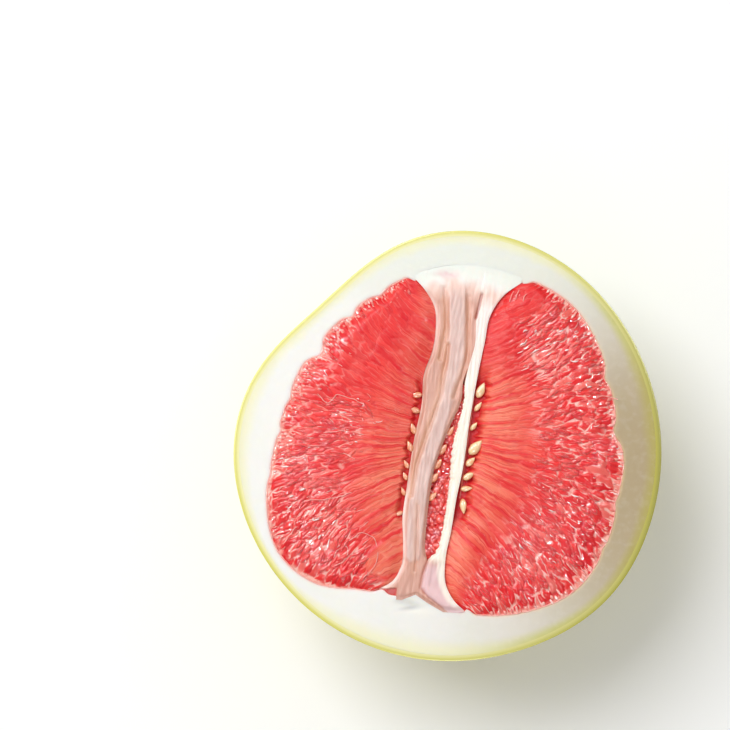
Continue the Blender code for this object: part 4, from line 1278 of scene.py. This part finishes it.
seed_finish, tree, shader = new_finish("seed_cream", 0.38, Coat_Weight=0.3, Coat_Roughness=0.15,
                                       Subsurface_Scale=0.001, Subsurface_Weight=0.25,
                                       Subsurface_Radius=(1.0, 0.6, 0.3))
place = own_place(tree)
patch = cloudy(tree, place, 450.0, 2.0)
dress(tree, shader, layered(tree, (0.93, 0.68, 0.38), [
    (ramp(tree, axis(tree, place, "X"), 0.006, 0.001), (0.86, 0.34, 0.18)),
    (times(tree, ramp(tree, patch, 0.45, 0.7), 0.6), (0.88, 0.40, 0.16)),
    # Painted shade: a darker orange on the seeds' upright sides.
    (times(tree, ramp(tree, facing_up(tree), 0.85, 0.35), 0.7), (0.80, 0.26, 0.10)),
    (attribute(tree, "tint"), (0.84, 0.12, 0.09))]))

for word, seeds in SEEDS.items():
    mesh = bpy.data.meshes.new("seed_spots_" + word)
    mesh.from_pydata(in_row([(x, y, z) for y, x, z, _, _, _ in seeds]).tolist(), [], [])
    spin = mesh.attributes.new("spin", "FLOAT_VECTOR", "POINT")
    size = mesh.attributes.new("size", "FLOAT_VECTOR", "POINT")
    for k, (_, _, _, length, heading, wide) in enumerate(seeds):
        spin.data[k].vector = (0.25 * math.sin(3.0 * k), -0.12, math.radians(heading))
        size.data[k].vector = (length * MM, length * wide * MM, length * wide * 0.55 * MM)
    seed_row = placed("seeds_" + word, mesh)
    grow(seed_row, seed_tree, {"Seed": one_seed, "Material": seed_finish})
    middle_x, lean, level = SEED_STRANDS[word]
    ys = np.linspace(seeds[0][0], seeds[-1][0], 30)
    strand_line = np.column_stack([middle_x + lean * ys, ys, level + 0.0 * ys])
    strand = line_piece("strand_" + word, [(strand_line, 0.6 + 0.0 * ys, 0.9, 0.0, 0.0)], {
        "Sides": 10, "Squash": 0.8, "Material": seed_finish})
    for piece in (seed_row, strand):
        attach(piece, "root")
        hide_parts("seed_row_" + word)
bpy.data.objects.remove(one_seed)

# THE STAGE, LIGHTS AND CAMERA
# A plain pale floor, a broad soft light from the upper left, a small one for the wet glints, and
# the camera where the photograph was taken from.

PHOTO_SIZE = 730
FACE_PIXEL = (448.7, 442.4)
PIXEL_MM = 0.3513
AZIMUTH = 6.9
ELEVATION = 85.0
FOCAL = 100.0
SENSOR = 36.0

floor_mesh = bpy.data.meshes.new("floor")
floor_mesh.from_pydata([(-3, -3, 0), (3, -3, 0), (3, 3, 0), (-3, 3, 0)], [], [(0, 1, 2, 3)])
floor = placed("floor", floor_mesh)
floor_finish = new_finish("floor_white", 0.8, Base_Color=(0.97, 0.97, 0.97, 1.0))[0]
floor_mesh.materials.append(floor_finish)

turn = math.radians(AZIMUTH)
rise_angle = math.radians(ELEVATION)
back = Vector((math.sin(turn) * math.cos(rise_angle), -math.cos(turn) * math.cos(rise_angle),
               math.sin(rise_angle)))
right = Vector((math.cos(turn), math.sin(turn), 0.0))
up = back.cross(right)
distance = PHOTO_SIZE * PIXEL_MM * MM * FOCAL / SENSOR
face_middle = Vector((-CENTRE_X * MM, -CENTRE_Y * MM, FACE * MM))
aside = (FACE_PIXEL[0] - PHOTO_SIZE / 2) * PIXEL_MM * MM
below = (FACE_PIXEL[1] - PHOTO_SIZE / 2) * PIXEL_MM * MM
aim = face_middle - right * aside + up * below
camera_data = bpy.data.cameras.new("camera")
camera_data.lens = FOCAL
camera_data.sensor_width = SENSOR
camera = placed("camera", camera_data)
camera.location = aim + back * distance
camera.rotation_mode = "QUATERNION"
camera.rotation_quaternion = back.to_track_quat("Z", "Y")
bpy.context.scene.camera = camera


def area_light(name, place, power, size, for_glints=False):
    """A square lamp that faces the fruit, or a small bright one that only shows in what is wet."""
    data = bpy.data.lights.new(name, "AREA")
    data.energy = power
    data.size = size
    lamp = placed(name, data)
    lamp.visible_diffuse = not for_glints
    lamp.location = place
    lamp.rotation_mode = "QUATERNION"
    lamp.rotation_quaternion = (Vector(place) - face_middle).to_track_quat("Z", "Y")


area_light("key", (-0.62, 0.44, 1.25), 13.6, 0.75)
for name, place in (("glint_top", (-0.20, 0.50, 0.80)), ("glint_left", (-0.60, 0.10, 0.70)),
                    ("glint_right", (0.45, 0.35, 0.75)), ("glint_low", (0.10, -0.55, 0.80))):
    area_light(name, place, 6.0, 0.13, for_glints=True)
world = bpy.data.worlds.new("studio")
world.use_nodes = True
world.node_tree.nodes["Background"].inputs["Color"].default_value = (1.0, 1.0, 1.0, 1.0)
world.node_tree.nodes["Background"].inputs["Strength"].default_value = 0.50
bpy.context.scene.world = world
bpy.context.scene.view_settings.view_transform = "Standard"
